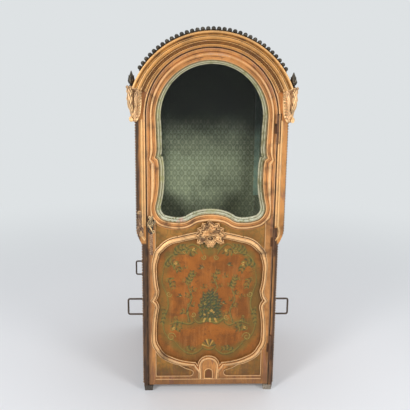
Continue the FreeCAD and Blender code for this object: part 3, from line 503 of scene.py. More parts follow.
def net(place, scale, bend, by, detail=2.0):
    """How far each point lies from the edges of a net of cells, bent by a noise."""
    push = noise(place, bend, detail, 0.5, output="Color")
    moved = put("ShaderNodeVectorMath", {0: push, 1: (by, by, by), 2: place}, operation="MULTIPLY_ADD")[0]
    return put("ShaderNodeTexVoronoi", {"Vector": moved, "Scale": scale}, feature="DISTANCE_TO_EDGE")["Distance"]


def axes(place):
    """The x, y and z of a place."""
    split = put("ShaderNodeSeparateXYZ", {0: place})
    return [split[k] for k in range(3)]


def grouped(work):
    """Turns a function of wires, each with a default, into a node group that a call places with its own values."""
    inputs = inspect.signature(work).parameters
    tree = bpy.data.node_groups.new(work.__name__, "ShaderNodeTree")

    def opening(label, way, kind):
        return tree.interface.new_socket(label, in_out=way, socket_type="NodeSocket" + kind)

    for label, entry in inputs.items():
        size = len(entry.default) if isinstance(entry.default, tuple) else 1
        opening(label, "INPUT", {1: "Float", 3: "Vector", 4: "Color"}[size]).default_value = entry.default
    taken = outlets(tree.nodes.new("NodeGroupInput"))
    given = work(*[taken[k] for k in range(len(inputs))])
    for label in given:
        opening(label, "OUTPUT", "Color" if label == "colour" else "Float")
    end = tree.nodes.new("NodeGroupOutput")
    for label, value in given.items():
        feed(end.inputs[label], value)

    def placed(*values, **named):
        wires = put("ShaderNodeGroup", {**dict(enumerate(values)), **named}, node_tree=tree)
        return [wires[k] for k in range(len(given))] if len(given) > 1 else wires[0]

    return placed


ORIGIN = (0.0, 0.0, 0.0)


@grouped
def drifting_tone(place=ORIGIN, colour=(0.5, 0.5, 0.5, 1.0), size=8.0, light=1.2, dark=0.8, speckle=0.1):
    """A colour that drifts lighter and darker in clouds, with fine speckle over it."""
    grit = (noise(place, 420.0, 2.0) - 0.5) * speckle + 1.0
    lift = ramp(noise(place, size, 5.0, 0.6, 0.4), 0.32, 0.68, dark, light) * grit
    return {"colour": put("ShaderNodeVectorMath", {0: colour, "Scale": lift}, operation="SCALE")[0]}


@grouped
def worn_layer(place=ORIGIN, proud=0.0, size=30.0, rub=0.3, dirt=0.3, streak=(1.0, 1.0, 0.35)):
    """Where a finish has rubbed through, most on proud edges, where dirt lies, with painted shade in the grooves, and
    its height.
    """
    patch = noise(drawn(place, streak), size, 6.0, 0.65, 0.6) + proud.most(0.0) * 0.22
    # soot in clouds, and painted shade: the hollows (proud below 0) are darkened
    soot = noise(place, size * 0.45, 5.0, 0.6, 0.3) + (proud * -1.0).most(0.0) * 0.55
    gate, door = 0.92 - rub * 0.55, 1.0 - dirt * 0.6
    rubbed = ramp(patch, gate - 0.05, gate + 0.05)
    dirty = ramp(soot, door - 0.16, door + 0.12)
    return {"rubbed": rubbed, "dirty": dirty, "height": dirty * -0.4 - rubbed}


@grouped
def fine_cracks(place=ORIGIN, size=70.0, amount=0.5):
    """The net of hair cracks in old paint, 1 on a crack."""
    some = ramp(noise(place, 14.0, 3.0), 0.62, 0.42)
    return {"cracks": ramp(net(place, size, 25.0, 0.02), 0.05, 0.0) * some * amount}


@grouped
def wood_grain(place=ORIGIN, fineness=260.0, length=(1.0, 1.0, 0.05)):
    """The long grain of a board: fine streaks and pores, 0 to 1."""
    return {"grain": noise(drawn(place, length), fineness, 4.0, 0.6, 0.8)}


@grouped
def damask_weave(across=0.0, up=0.0, wide=0.036, tall=0.042):
    """A damask of scalloped lozenges: its figure and its thread.

    With u and v counted in repeats, f = cos 2 pi u + cos 2 pi v is 2 in a flower and -2 in a leaf; the lozenge
    lines lie where f, scalloped by cos 6 pi u * cos 6 pi v, is near 0, and petals are cos 4 pi u * cos 4 pi v.
    """
    circle = 2 * math.pi
    turns = across / wide * circle, up / tall * circle
    one, two, three = ([(turn * times).maths("COSINE") for turn in turns] for times in (1.0, 2.0, 3.0))
    f, petals = one[0] + one[1], two[0] * two[1]
    lines = ramp(abs(f + three[0] * three[1] * 0.35), 0.4, 0.16)
    inner = ramp(f + petals * 0.45, 1.25, 1.55).most(ramp(f + petals * -0.5, -1.35, -1.6))
    rows, cords = ((way * (circle / pitch)).maths("SINE") for way, pitch in ((up, 0.0011), (across, 0.0009)))
    return {"figure": lines.most(inner * 0.5), "thread": (rows + cords) * 0.25 + 0.5}


def material(name):
    """An empty material, the place of each point, and how proud it is."""
    made = bpy.data.materials.new(name)
    made.use_nodes = True
    return made, put("ShaderNodeTexCoord", tree=made.node_tree)["Object"], mark(made, "proud")


def mark(made, name, output="Fac"):
    """What a piece's points carry under this name."""
    return put("ShaderNodeAttribute", tree=made.node_tree, attribute_name=name)[output]


def shaded(made, **inputs):
    """Feeds a material's shader, with _ for a space in an input's name, and gives the material."""
    for key, value in inputs.items():
        feed(made.node_tree.nodes["Principled BSDF"].inputs[key.replace("_", " ")], value)
    return made


def fed(made, key):
    """What one input of a material's shader is fed."""
    return Wire(made.node_tree.nodes["Principled BSDF"].inputs[key].links[0].from_socket)


def place_of(made):
    """The place of each point, in a material that is made."""
    return outlets(next(node for node in made.node_tree.nodes if node.type == "TEX_COORD"))["Object"]


def relief(height, depth, strength):
    """The normal of a face bumped by a height in units of `depth` metres."""
    return put("ShaderNodeBump", {"Height": height, "Distance": depth, "Strength": strength})["Normal"]


LONG, EVEN = (1, 1, 0.12), (1, 1, 1)        # how wear is drawn out: down a post, or not at all


def gilding(name, gold, bole, soot, rub=0.3, dirt=0.35, crest=0.5, sheen=0.35, size=30.0, streak=(1, 1, 0.35)):
    """Old gilding: ochre gold, pale on the crests, partly burnish and partly a painted highlight that is weaker above
    1.4 m, over a pinkish ground that shows where it is rubbed, and brown dirt in the hollows with painted shade.
    """
    made, place, proud = material(name)
    shown = drifting_tone(place, gold, 9.0, 1.22, 0.68, 0.5)
    rubbed, dirty, height = worn_layer(place, proud, size, rub, dirt, streak)
    grain = wood_grain(place, length=streak)
    # painted highlight: the crests are laid pale gold, less above 1.4 m; partly burnish
    bright = ramp(proud, 0.12, 0.75) * ramp(axes(place)[2], 1.6, 1.38, 0.4 * crest, crest)
    # dirt and painted shade in the hollows, then dark grain
    shown = layered(shown, (rubbed, bole), (bright, tone(250, 208, 150)), (dirty * 0.86, soot),
                    (ramp(grain, 0.52, 0.74) * 0.34, soot))
    kept = 1.0 - rubbed.most(dirty)
    return shaded(made, Base_Color=shown, Metallic=kept * sheen, Roughness=ramp(kept, 0.0, 1.0, 0.64, 0.42),
                  Specular_IOR_Level=0.3, Normal=relief(grain * 0.3 + height, 0.0005, 0.7))


def covered(made, amount, colour):
    """Lays a colour with no metal in it over a finish."""
    shaded(made, Base_Color=layered(fed(made, "Base Color"), (amount, colour)),
           Metallic=fed(made, "Metallic") * (1.0 - amount))


def grimed(made, low, edges, grime, weight):
    """Darkens a finish toward the ground below `low`, and past each edge (from height, to height, |x| it starts at,
    |x| it is full at), more on the left side than on the right: partly grime, partly painted shade.
    """
    place = place_of(made)
    x, _, z = axes(place)
    uneven = noise(drawn(place, (1, 1, 0.16)), 70.0, 5.0) - 0.5
    mask = ramp(uneven * 0.5 + z, low + 0.07, low - 0.07, 0.0, 0.75)
    wide = uneven * 0.012 + abs(x) + x * -0.03
    for bottom, top, start, full in edges:
        mask = mask.most(ramp(wide, start, full) * band(z, bottom, top, 0.006))
    mask = mask * uneven.maths("MULTIPLY_ADD", 0.7, weight, clamp=True)
    covered(made, mask, grime)


def fielded(made):
    """Lays olive-brown paint on the door frame's gilding in the fields that lie about 3 mm back."""
    place = place_of(made)
    x, y, z = axes(place)
    inside = band(abs(x), -1.0, 0.2572, 0.0003) * band(y, -0.3983, -0.3955, 0.0004) * band(z, 0.0815, 0.92, 0.001)
    vine = ramp(net(place, 24.0, 16.0, 0.09, 3.0), 0.09, 0.03)
    paint = layered(drifting_tone(place, tone(136, 94, 42), 14.0, 1.35, 0.62, 0.5), (vine * 0.42, tone(96, 86, 44)))
    covered(made, inside, paint)


def painted_board(name, ground, deep, decorated=True):
    """Old oil paint under varnish: a clouded ground, hair cracks, rubbed spots, and the piece's painted work.

    The piece carries "paint", the colour of its brushwork, "cover", how thick it lies, and "rim", 1 at its edge,
    where the paint is darkened as painted shade beside the moulding.
    """
    made, place, _ = material(name)
    streak = ramp(noise(drawn(place, LONG), 60.0), 0.5, 0.75)
    shown = layered(drifting_tone(place, ground, 9.0, 1.26, 0.7, 0.5),
                    (ramp(noise(place, 26.0, 6.0, 0.65), 0.5, 0.72), deep), (streak * 0.18, tone(206, 140, 80)))
    if decorated:
        thin = ramp(noise(place, 120.0), 0.28, 0.5, 0.45, 1.0)
        # the rim darkens the paint beside the moulding: painted shade
        shown = layered(shown, (mark(made, "cover") * thin, mark(made, "paint", "Vector")),
                        (mark(made, "rim") * 0.65, tone(84, 68, 30)))
    rubbed, dirty, height = worn_layer(place, size=44.0, rub=0.3, dirt=0.25)
    cracks = fine_cracks(place, 90.0, 0.5)
    shown = layered(shown, (rubbed * 0.7, tone(206, 150, 104)), ((dirty * 0.5).most(cracks), tone(76, 50, 28)))
    return shaded(made, Base_Color=shown, Roughness=ramp(rubbed, 0.0, 1.0, 0.42, 0.75), Specular_IOR_Level=0.32,
                  Normal=relief(height - cracks, 0.0003, 0.5))


def flaking_green(name):
    """Sage green paint on the window trims, flaking to grey-olive, chalky below and at the right, one pink patch."""
    made, place, proud = material(name)
    x, _, z = axes(place)
    patch, flake = noise(place, 34.0, 6.0, 0.65, 0.5), noise(place, 90.0, 5.0, 0.6, 0.4)
    dull = ramp(x, 0.1, 0.24) * band(z, 0.96, 1.36, 0.05) * 0.35
    spot = put("ShaderNodeVectorMath", {0: place, 1: (-0.15, -0.39, 0.868)}, operation="DISTANCE")["Value"]
    # dark in the flakes, and painted shade in the grooves (proud below 0)
    pit = (proud * -1.6).most(ramp(flake, 0.58, 0.66)).maths("MULTIPLY", 0.6, clamp=True)
    shown = layered(drifting_tone(place, tone(134, 132, 88), 12.0, 1.3, 0.64, 0.4),
                    (ramp(patch + dull, 0.46, 0.58) * 0.85, tone(104, 98, 60)),
                    (ramp(z, 0.96, 0.87) * ramp(flake, 0.42, 0.52) * 0.8, tone(196, 202, 178)),
                    (ramp(spot, 0.04, 0.02) * ramp(patch, 0.4, 0.5) * 0.7, tone(190, 118, 104)),
                    (pit, tone(74, 64, 42)),
                    (ramp(proud, 0.15, 0.7) * ramp(patch, 0.36, 0.56) * 0.7, tone(214, 208, 180)))
    return shaded(made, Base_Color=shown, Roughness=0.62, Normal=relief(flake * -1.0, 0.0006, 0.6))


def damask_cloth(name, run, ground, figure, wide=0.042, tall=0.06, smoked=True):
    """Faded silk damask; `run` names the two axes that its repeat follows. Unless told not to, it is darkened towards
    the top, a painted shadow of the roof.
    """
    made, place, _ = material(name)
    axis = dict(zip("XYZ", axes(place)))
    woven, thread = damask_weave(noise(place, 7.0, 2.0, 0.5) * 0.012 + axis[run[0]], axis[run[1]], wide, tall)
    broken = ramp(noise(place, 260.0, 3.0), 0.3, 0.55, 0.5, 1.0)
    stain = ramp(noise(place, 6.0), 0.58, 0.74)
    shown = layered(drifting_tone(place, ground, 5.0, 1.32, 0.68, 0.3),
                    (woven * broken, drifting_tone(place, figure, 5.0, 1.2, 0.78, 0.3)),
                    (stain * 0.3, tone(90, 84, 62)))
    # painted shadow: darker toward the top, where the roof shades the inside
    if smoked:
        high = noise(place, 5.0, 3.0) * 0.24 + axis["Z"]
        shown = layered(shown, (ramp(high, 1.09, 1.45, 0.0, 0.95), tone(20, 21, 20)))
    return shaded(made, Base_Color=shown, Roughness=ramp(woven, 0.0, 1.0, 0.7, 0.5), Sheen_Weight=0.1,
                  Sheen_Roughness=0.4, Normal=relief(woven * 0.6 + thread * 0.5, 0.0004, 0.6))


def forged_iron(name):
    """Hand-forged iron: brown-black scale, rust bloom, and metal bared on the proud edges."""
    made, place, proud = material(name)
    rubbed, dirty, _ = worn_layer(place, proud, 90.0, 0.35, 0.4, EVEN)
    shown = layered(drifting_tone(place, tone(92, 80, 70), 40.0, 1.3, 0.7, 0.4), (dirty * 0.8, tone(104, 62, 40)),
                    (rubbed, tone(112, 106, 100)))
    return shaded(made, Base_Color=shown, Metallic=0.6 - dirty * 0.5, Roughness=ramp(rubbed, 0.0, 1.0, 0.6, 0.38),
                  Normal=relief(noise(place, 160.0), 0.0008, 0.5))


def roof_leather(name):
    """Black-brown roof leather: pebbled grain, dull cracks, and rubbed patches gone brown."""
    made, place, _ = material(name)
    rubbed = worn_layer(place, size=26.0, rub=0.35, dirt=0.3, streak=EVEN)[0]
    cracks = fine_cracks(place, 60.0, 0.7)
    shown = layered(drifting_tone(place, tone(52, 42, 35), 6.0, 1.4, 0.65, 0.2), (rubbed * 0.6, tone(112, 84, 62)),
                    (cracks, tone(26, 22, 20)))
    pebble = put("ShaderNodeTexVoronoi", {"Vector": place, "Scale": 420.0})["Distance"]
    return shaded(made, Base_Color=shown, Roughness=ramp(rubbed, 0.0, 1.0, 0.6, 0.8), Specular_IOR_Level=0.25,
                  Normal=relief(pebble * 0.4 - cracks, 0.0007, 0.7))


def bare_board(name, colour, deep, length):
    """Dry unpainted board: grain along `length`, darker late wood, dust in the pores."""
    made, place, _ = material(name)
    grain, fine = (wood_grain(place, fineness, length) for fineness in (120.0, 700.0))
    shown = layered(drifting_tone(place, colour, 8.0, 1.18, 0.8, 0.2), (ramp(grain, 0.42, 0.62), deep),
                    (ramp(fine, 0.55, 0.75) * 0.4, tone(52, 38, 28)))
    return shaded(made, Base_Color=shown, Roughness=0.78, Normal=relief(grain * 0.6 + fine, 0.0005, 0.5))


def surfaced(tree, end, amount, first, second):
    """Ends a tree in a mix of two shaders."""
    feed(tree.nodes[end].inputs["Surface"], put("ShaderNodeMixShader", {0: amount, 1: first, 2: second})[0])


def pane_glass(name, clear):
    """Old window glass: a faint green tint and slow waves; lamps shine through it."""
    made, place, _ = material(name)
    tree = made.node_tree
    shaded(made, Base_Color=clear, Roughness=0.03, IOR=1.18, Transmission_Weight=1.0,
           Normal=relief(noise(place, 5.0, 2.0), 0.004, 0.25))
    rays = put("ShaderNodeLightPath", tree=tree)
    surfaced(tree, "Material Output", rays["Is Shadow Ray"].most(rays["Is Diffuse Ray"]),
             outlets(tree.nodes["Principled BSDF"])[0],
             put("ShaderNodeBsdfTransparent", {"Color": clear}, tree)[0])
    return made


# the second tone is the dark laid for dirt and for painted shade in the hollows
BOLE, SOOT = (166, 114, 86), (52, 33, 24)
# name, gold, ground, and dark of dirt and painted shade, how rubbed, how dirty and shaded,
# how bright the painted highlight on its crests, how metallic, the wear's size and drawing
(gilt, gilt_stile, gilt_bright, gilt_edge, gilt_cornice, gilt_carved, hollow_dark, gilt_dull, pearl_dark, fruit_dark,
 bronze, bronze_worn, plate_worn, hinge_worn, post_gilt, door_gilt) = (
    gilding(name, tone(*gold), tone(*ground), tone(*dirt), *rest) for name, gold, ground, dirt, *rest in (
        ("gilt_moulding", (192, 130, 74), BOLE, SOOT, 0.42, 0.52, 0.66),
        ("gilt_stile", (184, 126, 72), (150, 102, 74), SOOT, 0.62, 0.46, 0.5, 0.2, 30, LONG),
        ("gilt_bead", (208, 152, 88), BOLE, SOOT, 0.3, 0.42, 0.5, 0.3),
        ("gilt_door_edge", (196, 140, 84), BOLE, SOOT, 0.4, 0.5, 0.35),
        ("gilt_cornice", (194, 132, 60), BOLE, SOOT, 0.22, 0.48, 0.75, 0.35, 30, EVEN),
        ("gilt_carving", (208, 150, 92), (172, 116, 88), (54, 35, 25), 0.35, 0.72, 0.75, 0.35, 60, EVEN),
        # dark for the joints, and for the painted shadow in the door's gap
        ("carving_hollow", (92, 60, 34), (70, 46, 32), (30, 20, 14), 0.3, 1.0, 0.1, 0.35, 60, EVEN),
        ("gilt_console", (214, 168, 122), (166, 122, 98), (58, 40, 32), 0.42, 0.5, 1.0, 0.35, 50, EVEN),
        ("worn_pearls", (118, 84, 56), (96, 70, 54), (34, 24, 18), 0.5, 0.7, 0.4, 0.35, 90, EVEN),
        ("gilt_fruit", (140, 100, 66), (112, 80, 62), (40, 28, 22), 0.5, 0.6, 0.55, 0.35, 60, EVEN),
        ("dark_bronze", (78, 74, 66), (56, 50, 44), (26, 24, 22), 0.3, 0.72, 0.12, 0.7, 120, EVEN),
        ("rubbed_bronze", (122, 108, 84), (86, 74, 60), (40, 32, 28), 0.35, 0.6, 0.7, 0.75, 110, EVEN),
        ("rubbed_plate", (126, 92, 74), (104, 78, 70), (52, 36, 32), 0.5, 0.66, 0.5, 0.3, 110, EVEN),
        ("worn_hinge", (104, 72, 50), (86, 60, 46), (38, 26, 20), 0.4, 0.66, 0.15, 0.3, 110, EVEN),
        ("gilt_post", (184, 128, 72), (148, 102, 72), SOOT, 0.6, 0.5, 0.5, 0.2, 30, LONG),
        ("gilt_door_frame", (182, 126, 72), (150, 102, 74), SOOT, 0.62, 0.48, 0.5, 0.16, 30, LONG)))
# darker low down and past the outer edges, more on the left: partly grime, partly painted shade
grimed(gilt_edge, 0.16, [(0.0, 0.9, 0.27, 0.292)], tone(74, 52, 40), 0.9)
grimed(post_gilt, 0.22, [(0.0, 0.765, 0.289, 0.305), (0.765, 1.37, 0.331, 0.346)], tone(62, 45, 34), 0.95)
fielded(door_gilt)
grimed(door_gilt, 0.11, [(0.0, 0.74, 0.275, 0.302)], tone(90, 62, 46), 0.76)
panel_paint = painted_board("painted_panel", tone(142, 82, 26), tone(108, 64, 22))
side_paint = painted_board("painted_side", tone(140, 88, 44), tone(112, 68, 32), decorated=False)
side_art = painted_board("painted_side_work", tone(142, 90, 44), tone(114, 70, 34))
green = flaking_green("flaking_green")
damask_wall, damask_side, damask_top, silk_edge, piping_cord, damask_seat = (
    damask_cloth(name, run, tone(*ground), tone(*figure), *rest) for name, run, ground, figure, *rest in (
        ("damask_back", "XZ", (170, 172, 144), (226, 224, 194)),
        ("damask_side", "YZ", (126, 128, 104), (200, 198, 164)),
        # the ceiling's damask is a near-black copy: painted shade
        ("damask_ceiling", "XY", (50, 52, 42), (60, 61, 50), 0.058, 0.088),
        # the corner strips' damask is a pale teal copy: painted light
        ("damask_edge", "XZ", (186, 212, 196), (214, 226, 206)),
        ("piping_cord", "XY", (126, 124, 92), (160, 156, 118), 0.004, 0.004, False),
        ("damask_cushion", "XY", (92, 94, 74), (172, 170, 134), 0.042, 0.06, False)))
iron, leather = forged_iron("forged_iron"), roof_leather("roof_leather")
board_long = bare_board("bare_board_long", tone(122, 94, 68), tone(86, 62, 44), (1.0, 0.06, 1.0))
board_up = bare_board("bare_board_up", tone(112, 84, 60), tone(78, 56, 40), (1.0, 1.0, 0.06))
foot_wood = bare_board("foot_wood", tone(150, 140, 126), tone(84, 70, 58), (1.0, 1.0, 0.2))
# the left foot is laid darker: painted shade
left_end = ramp(axes(place_of(foot_wood))[0], -0.1, -0.25, 0.0, 0.85)
shaded(foot_wood, Base_Color=layered(fed(foot_wood, "Base Color"), (left_end, tone(44, 36, 30))))
pane = pane_glass("old_pane", (0.86, 0.9, 0.87, 1))

FINISHES = {
    gilt_stile: "elbow_rail_left elbow_rail_right head_front head_rear side_cornice_left side_cornice_right",
    post_gilt: "base_frame post_front_left post_front_right post_rear_left post_rear_right",
    door_gilt: "door_frame", board_long: "floor_board seat_board", board_up: "seat_front", foot_wood: "feet",
    side_paint: "door_panel lower_panel_left lower_panel_right upper_panel_left upper_panel_right rear_panel_lower "
                "rear_panel_upper",
    damask_wall: "lining_back", damask_side: "lining_left lining_right", damask_top: "lining_ceiling",
    leather: "roof_shell", iron: "pole_staples_left pole_staples_right", bronze: "roof_knobs door_handle",
    plate_worn: "lock_plate", hinge_worn: "hinge_posts hinge_leaves",
    pane: "door_glass side_glass_left side_glass_right",
}
for finish, names in FINISHES.items():
    for name in names.split():
        nodes[name].data.materials.clear()
        nodes[name].data.materials.append(finish)

# ---------------- window and panel mouldings of the door

ROUND = 1 - math.sqrt(0.5)      # a quarter turn's bulge over its radius
WINDOW = [(0, 907, -3), (70, 895, -1), (104, 876, 3), (150, 866, 4), (225, 880, 12), (256, 950, -6), (240, 1103, -2),
          (245, 1163), (257, 1173, -3), (250, 1231), (254, 1355, 254 * ROUND), (0, 1609)]
CARTOUCHE = [(0, 188, -5), (41, 170, -3), (54, 136), (64, 153, 1), (114, 159, 3), (191, 186, 7), (238, 234, 5),
             (255, 288, 5), (242, 441, -4), (257, 479, -4), (242, 530, 3), (253, 620, 5), (242, 696, 5),
             (223, 729, 9), (149, 771, 3), (0, 800)]
window_path, panel_path = outline(WINDOW), outline(CARTOUCHE)
STRAIGHT = 283.5     # half width, and radius over the arch, where the window's moulding ends


def stretched(full, spans):
    """Lets a moulding `full` wide reach each point's own width: offsets past half of it are drawn out."""
    half = full / 2
    return lambda t: np.where(t > half, half + (t - half) * (spans[:, None] - half) / (full - half), t)


def window_spans(path):
    """How far the window's moulding reaches from each point: to the stile's straight line, the arch over it, or
    31 along the sill. Along a unit normal n from p the line is (STRAIGHT - |p_x|) / |n_x| away, and the arch, with
    c from its centre to p, is -c.n + sqrt((c.n)^2 - c.c + STRAIGHT^2) away.
    """
    spots, normals = path
    facing = unit(normals)
    side = (STRAIGHT - np.abs(spots[:, 0])) / np.maximum(np.abs(facing[:, 0]), 0.12)
    c = spots - [0, ARCH]
    ahead = (c * facing).sum(1)
    bow = -ahead + np.sqrt(np.maximum(ahead ** 2 - (c ** 2).sum(1) + STRAIGHT ** 2, 0))
    high = np.clip((spots[:, 1] - ARCH + 30) / 30, 0, 1)
    return np.minimum(side * (1 - high) + bow * high, np.interp(spots[:, 1], [895, 960], [31, 60]))


def panel_spans(path):
    """How far the panel's moulding reaches: broad at the foot and head, narrow at the waist and over the niche."""
    across, up = np.abs(path[0][:, 0]), path[0][:, 1]
    broad = np.interp(up, [160, 250, 330, 620, 700, 760], [29, 29, 21, 21, 28, 31])
    return np.where(up < 230, np.interp(across, [80, 160], [19, 29]), broad)


WINDOW_FACE = [(0.6, 0), (0.8, 3.0, 0.5), (2.8, 4.4, 0.2), (9.0, 5.2, 0.2), (15.5, 6.6, 0.5), (19.0, 8.8, 1.3),
               (24.0, 8.8, 0.8), (27.2, 4.4, 0.4), (28.6, 1.4), (29.4, 1.4), (30.0, 0.8), (31.0, 0)]
PANEL_FACE = [(-0.4, -9), (-0.4, 1.0), (0.8, 2.4, 0.4), (2.8, 2.2), (3.4, 0.8, -0.2), (4.4, 1.6, 0.4),
              (7.6, 8.0, 1.2), (11.0, 9.8, 0.9), (15.6, 7.6, 0.8), (18.0, 3.2), (18.5, 1.2), (19.5, 1.2),
              (19.9, 2.8, 0.3), (21.6, 2.2), (22.0, 0)]
moulding("window_moulding_carved", window_path, WINDOW_FACE, front(), "door", gilt, "window_moulding",
         reach=stretched(31, window_spans(window_path)))
moulding("panel_moulding_carved", panel_path, PANEL_FACE, front(), "door", gilt, "panel_moulding", ground=-9,
         reach=stretched(22, panel_spans(panel_path)))


def joint(start, way, reach, heights):
    """A dark joint across a moulding: a thin line over its face from a point outward."""
    share = np.linspace(0, 1, len(heights))
    line = [(start[0] + way[0] * reach * k, start[1] + way[1] * reach * k, h - 0.25) for k, h in zip(share, heights)]
    return rod(front(), line, [0.9, 0.9], sides=6, count=24)


gathered("moulding_joints", [
    joint((side * x, z), (side * ahead, rise), reach, heights) for side in (-1, 1)
    for x, z, ahead, rise, reach, heights in ((243, 1440, 0.92, 0.36, 32, (3.4, 4.8, 5.6, 7.2, 9.6, 9.0, 2.2)),
                                              (233, 712, 0.86, 0.5, 27, (2.8, 1.4, 8.4, 10.4, 8.0, 1.8, 2.6)))],
         "door", hollow_dark)

# ---------------- cornices, trims and beads

CORNICE_TOP = 378.0     # radius of the cornice's upper edge
CONSOLE_TOP = 1492.0    # the consoles' tops, where the cornices end and the finials stand
CORNICE = [(314.5, 0), (314.5, 6.6), (315.2, 8, 1.6), (319.4, 12.4, 1.2), (322.8, 14.6), (323.6, 11.4), (325.8, 11.6),
           (326.4, 21.4, -3.6), (333.4, 21.6), (334.2, 18.4), (335.7, 18.6), (335.9, 23.6, 1.2), (338.8, 25.6),
           (339.6, 22.4), (341.0, 22.6), (341.4, 26.4, 4.6), (355.2, 37.2), (356.0, 34.0), (357.4, 34.4),
           (357.8, 39.2, -2.4), (368.2, 49.0), (369.2, 52.6, 2.2), (376.8, 54.4, 0.8),
           (CORNICE_TOP, 52.0), (CORNICE_TOP, -17)]
cornice_foot = math.degrees(math.asin((CONSOLE_TOP - ROOF) / CORNICE_TOP)) - 0.2
KNOB_RING, KNOB_SWEEP = 380.5, 57.4     # radius of the rail under the balls, and how far it runs from upright
for end, lay in (("front", front()), ("rear", rear(END))):
    turn = np.radians(np.linspace(cornice_foot, 180 - cornice_foot, 160))
    bow = points(np.cos(turn), np.sin(turn))
    moulding(f"cornice_{end}_carved", (bow * 0.001 + [0, ROOF], bow), CORNICE, lay, "chair", gilt_cornice,
             f"cornice_{end}", closed=False, ground=-17)
    turn = np.radians(np.linspace(90 - KNOB_SWEEP, 90 + KNOB_SWEEP, 90))
    arc = points(KNOB_RING * np.cos(turn), ROOF + KNOB_RING * np.sin(turn), 27.5)
    gathered(f"knob_rail_{end}", [rod(lay, arc, [4.6, 4.6], flat=1.3, sides=8, count=90)], "chair", bronze)

TRIM = [(-24, -16), (-24, -12.4, 0.8), (-21.4, -9.6, 0.6), (-16, -8.4), (-15.2, -9.0), (-14, -7.0, 1.2),
        (-5, -6.2, 0.9), (-1.2, -8.4), (0.4, -9.2), (0.4, -16)]
narrowing = np.interp(window_path[0][:, 1], [1300, 1450, 1590], [1, 0.84, 0.7])[:, None]
moulding("door_trim_painted", window_path, TRIM, front(), "door", green, "door_trim", ground=-18, ripple=0.25,
         reach=lambda t: t * narrowing)
bead("door_edge_bead", arch_path(290.8, 36), [(0, 0), (0.2, 1.6, 0.4), (2.2, 2.8, 0.5), (4.2, 1.6), (4.4, 0)],
     "door", gilt_edge)
# a dark strip in the gap round the door: painted shadow
bead("door_gap_shadow", arch_path(297.2, 36), [(0, 0), (0.1, 0.25), (3.4, 0.25), (3.6, 0)], "chair", hollow_dark)
bead("head_bead_front", arch_path(301.5, 852), [(0, 0), (0.2, 2.2, 0.5), (3.6, 4.4, 0.9), (6.6, 2.0), (6.9, 0)],
     "chair", gilt_bright)

POST_BEAD = [(-6.5, 0), (-6.3, 1.6, 0.3), (-4.9, 2.2), (-4.3, 1.4), (-3.9, 2.2, 1.4), (0, 5.0, 1.4), (3.9, 2.2),
             (4.3, 1.4), (4.9, 2.2, 0.3), (6.3, 1.6), (6.5, 0)]
for name, side in SIDES:
    for end, turn, lay in (("front", side, front()), ("rear", -side, rear(END))):
        path = line_path((turn * 316, 1346), (turn * 316, 850, -12 * turn), (turn * 306.5, 782), step=8)
        bead(f"post_bead_{end}_{name}", path, POST_BEAD, "chair", gilt_bright, lay)


def side_edge(z):
    """The post's outer face at this height: narrow below 758, wide above 832, and the swell between."""
    return NARROW + (WIDE - NARROW) * np.sin(np.clip((z - 758) / 74, 0, 1) * np.pi / 2) ** 1.3


def pearls(name, sy):
    """A worn string of pearls down both outer corners at one end of the body, 13 mm apart."""
    z = np.arange(46, 1336, 13.0)
    made = []
    for side in (-1, 1):
        spots, faces, proud = row_of(lambda a, b, h: points(side * (h - 0.5), sy * (392.5 + a), b),
                                     points(0.0, z), 6.2, 6.4)
        spots[:, 0] += side * side_edge(spots[:, 2])
        made.append((spots, faces, proud))
    gathered(name, made, "chair", pearl_dark)


pearls("pearl_string_front", -1)
pearls("pearl_string_rear", 1)

SIDE_WINDOW = [(0, 914, -2), (63, 908), (95, 892, 3), (185.5, 900, 10), (210.8, 952, -6), (200.8, 1170),
               (214.8, 1182, -3), (206.8, 1250), (206.8, 1290, 22), (130.7, 1348, 4), (0, 1360)]
LOWER_FIELD = [(0, 113), (265, 113), (265, 643, -14), (225, 683, 10), (175, 713), (0, 713)]
LIP = -0.5              # a bead that stands in for a CAD one is closed this far behind its face
BEAD = [(0, LIP), (0, 2.6, 0.5), (2.4, 3.6), (3.2, 2.4), (4.4, 3.4), (10.0, 8.2, 1.6), (16.4, 5.2, 0.5), (17.6, 2.2),
        (18.8, 3.4, 0.6), (21.6, 2.2), (22, LIP)]
INWARD = [(t - 22, h, *r) for t, h, *r in BEAD]
BACK_LOW, BACK_HIGH = 741.0, 851.0      # the back's lower field ends at one and the upper one starts at the other
REAR_LOWER = [(0, 83), (244, 83), (244, BACK_LOW - 40, 14), (204, BACK_LOW), (0, BACK_LOW)]
REAR_UPPER = [(0, BACK_HIGH), (244, BACK_HIGH), (244, ARCH, 244 * ROUND), (0, ARCH + 244)]
side_path, lower_path = outline(SIDE_WINDOW, 6.0), outline(LOWER_FIELD, 7.0)
rear_paths = {"lower": outline(REAR_LOWER, 7.0), "upper": outline(REAR_UPPER, 7.0)}
SIDE_TRIM = [(t, h + 6, *r) for t, h, *r in TRIM]
for name, side in SIDES:
    moulding(f"window_bead_{name}_carved", side_path, BEAD, flank(side, WIDE), "chair", gilt_stile,
             f"window_bead_{name}", ground=LIP)
    moulding(f"window_trim_{name}_painted", side_path, SIDE_TRIM, flank(side, 333.0), "chair", green,
             f"window_trim_{name}", ground=-12, ripple=0.25)
    moulding(f"panel_bead_{name}_carved", lower_path, INWARD, flank(side, NARROW), "chair", gilt_stile,
             f"panel_bead_{name}", ground=LIP)
for part, path in rear_paths.items():
    moulding(f"rear_bead_{part}", path, INWARD, rear(), "chair", gilt_stile, "rear_beads", ground=LIP)


# ---------------- carved ornaments

def corner(sx, sy):
    """Lays (across, up, out) on the corner post: across runs level past the corner, out points diagonally."""
    r = math.sqrt(0.5)
    return lambda a, b, h: points(sx * (WIDE + r * (h + a)), sy * (END + r * (h - a)), b)


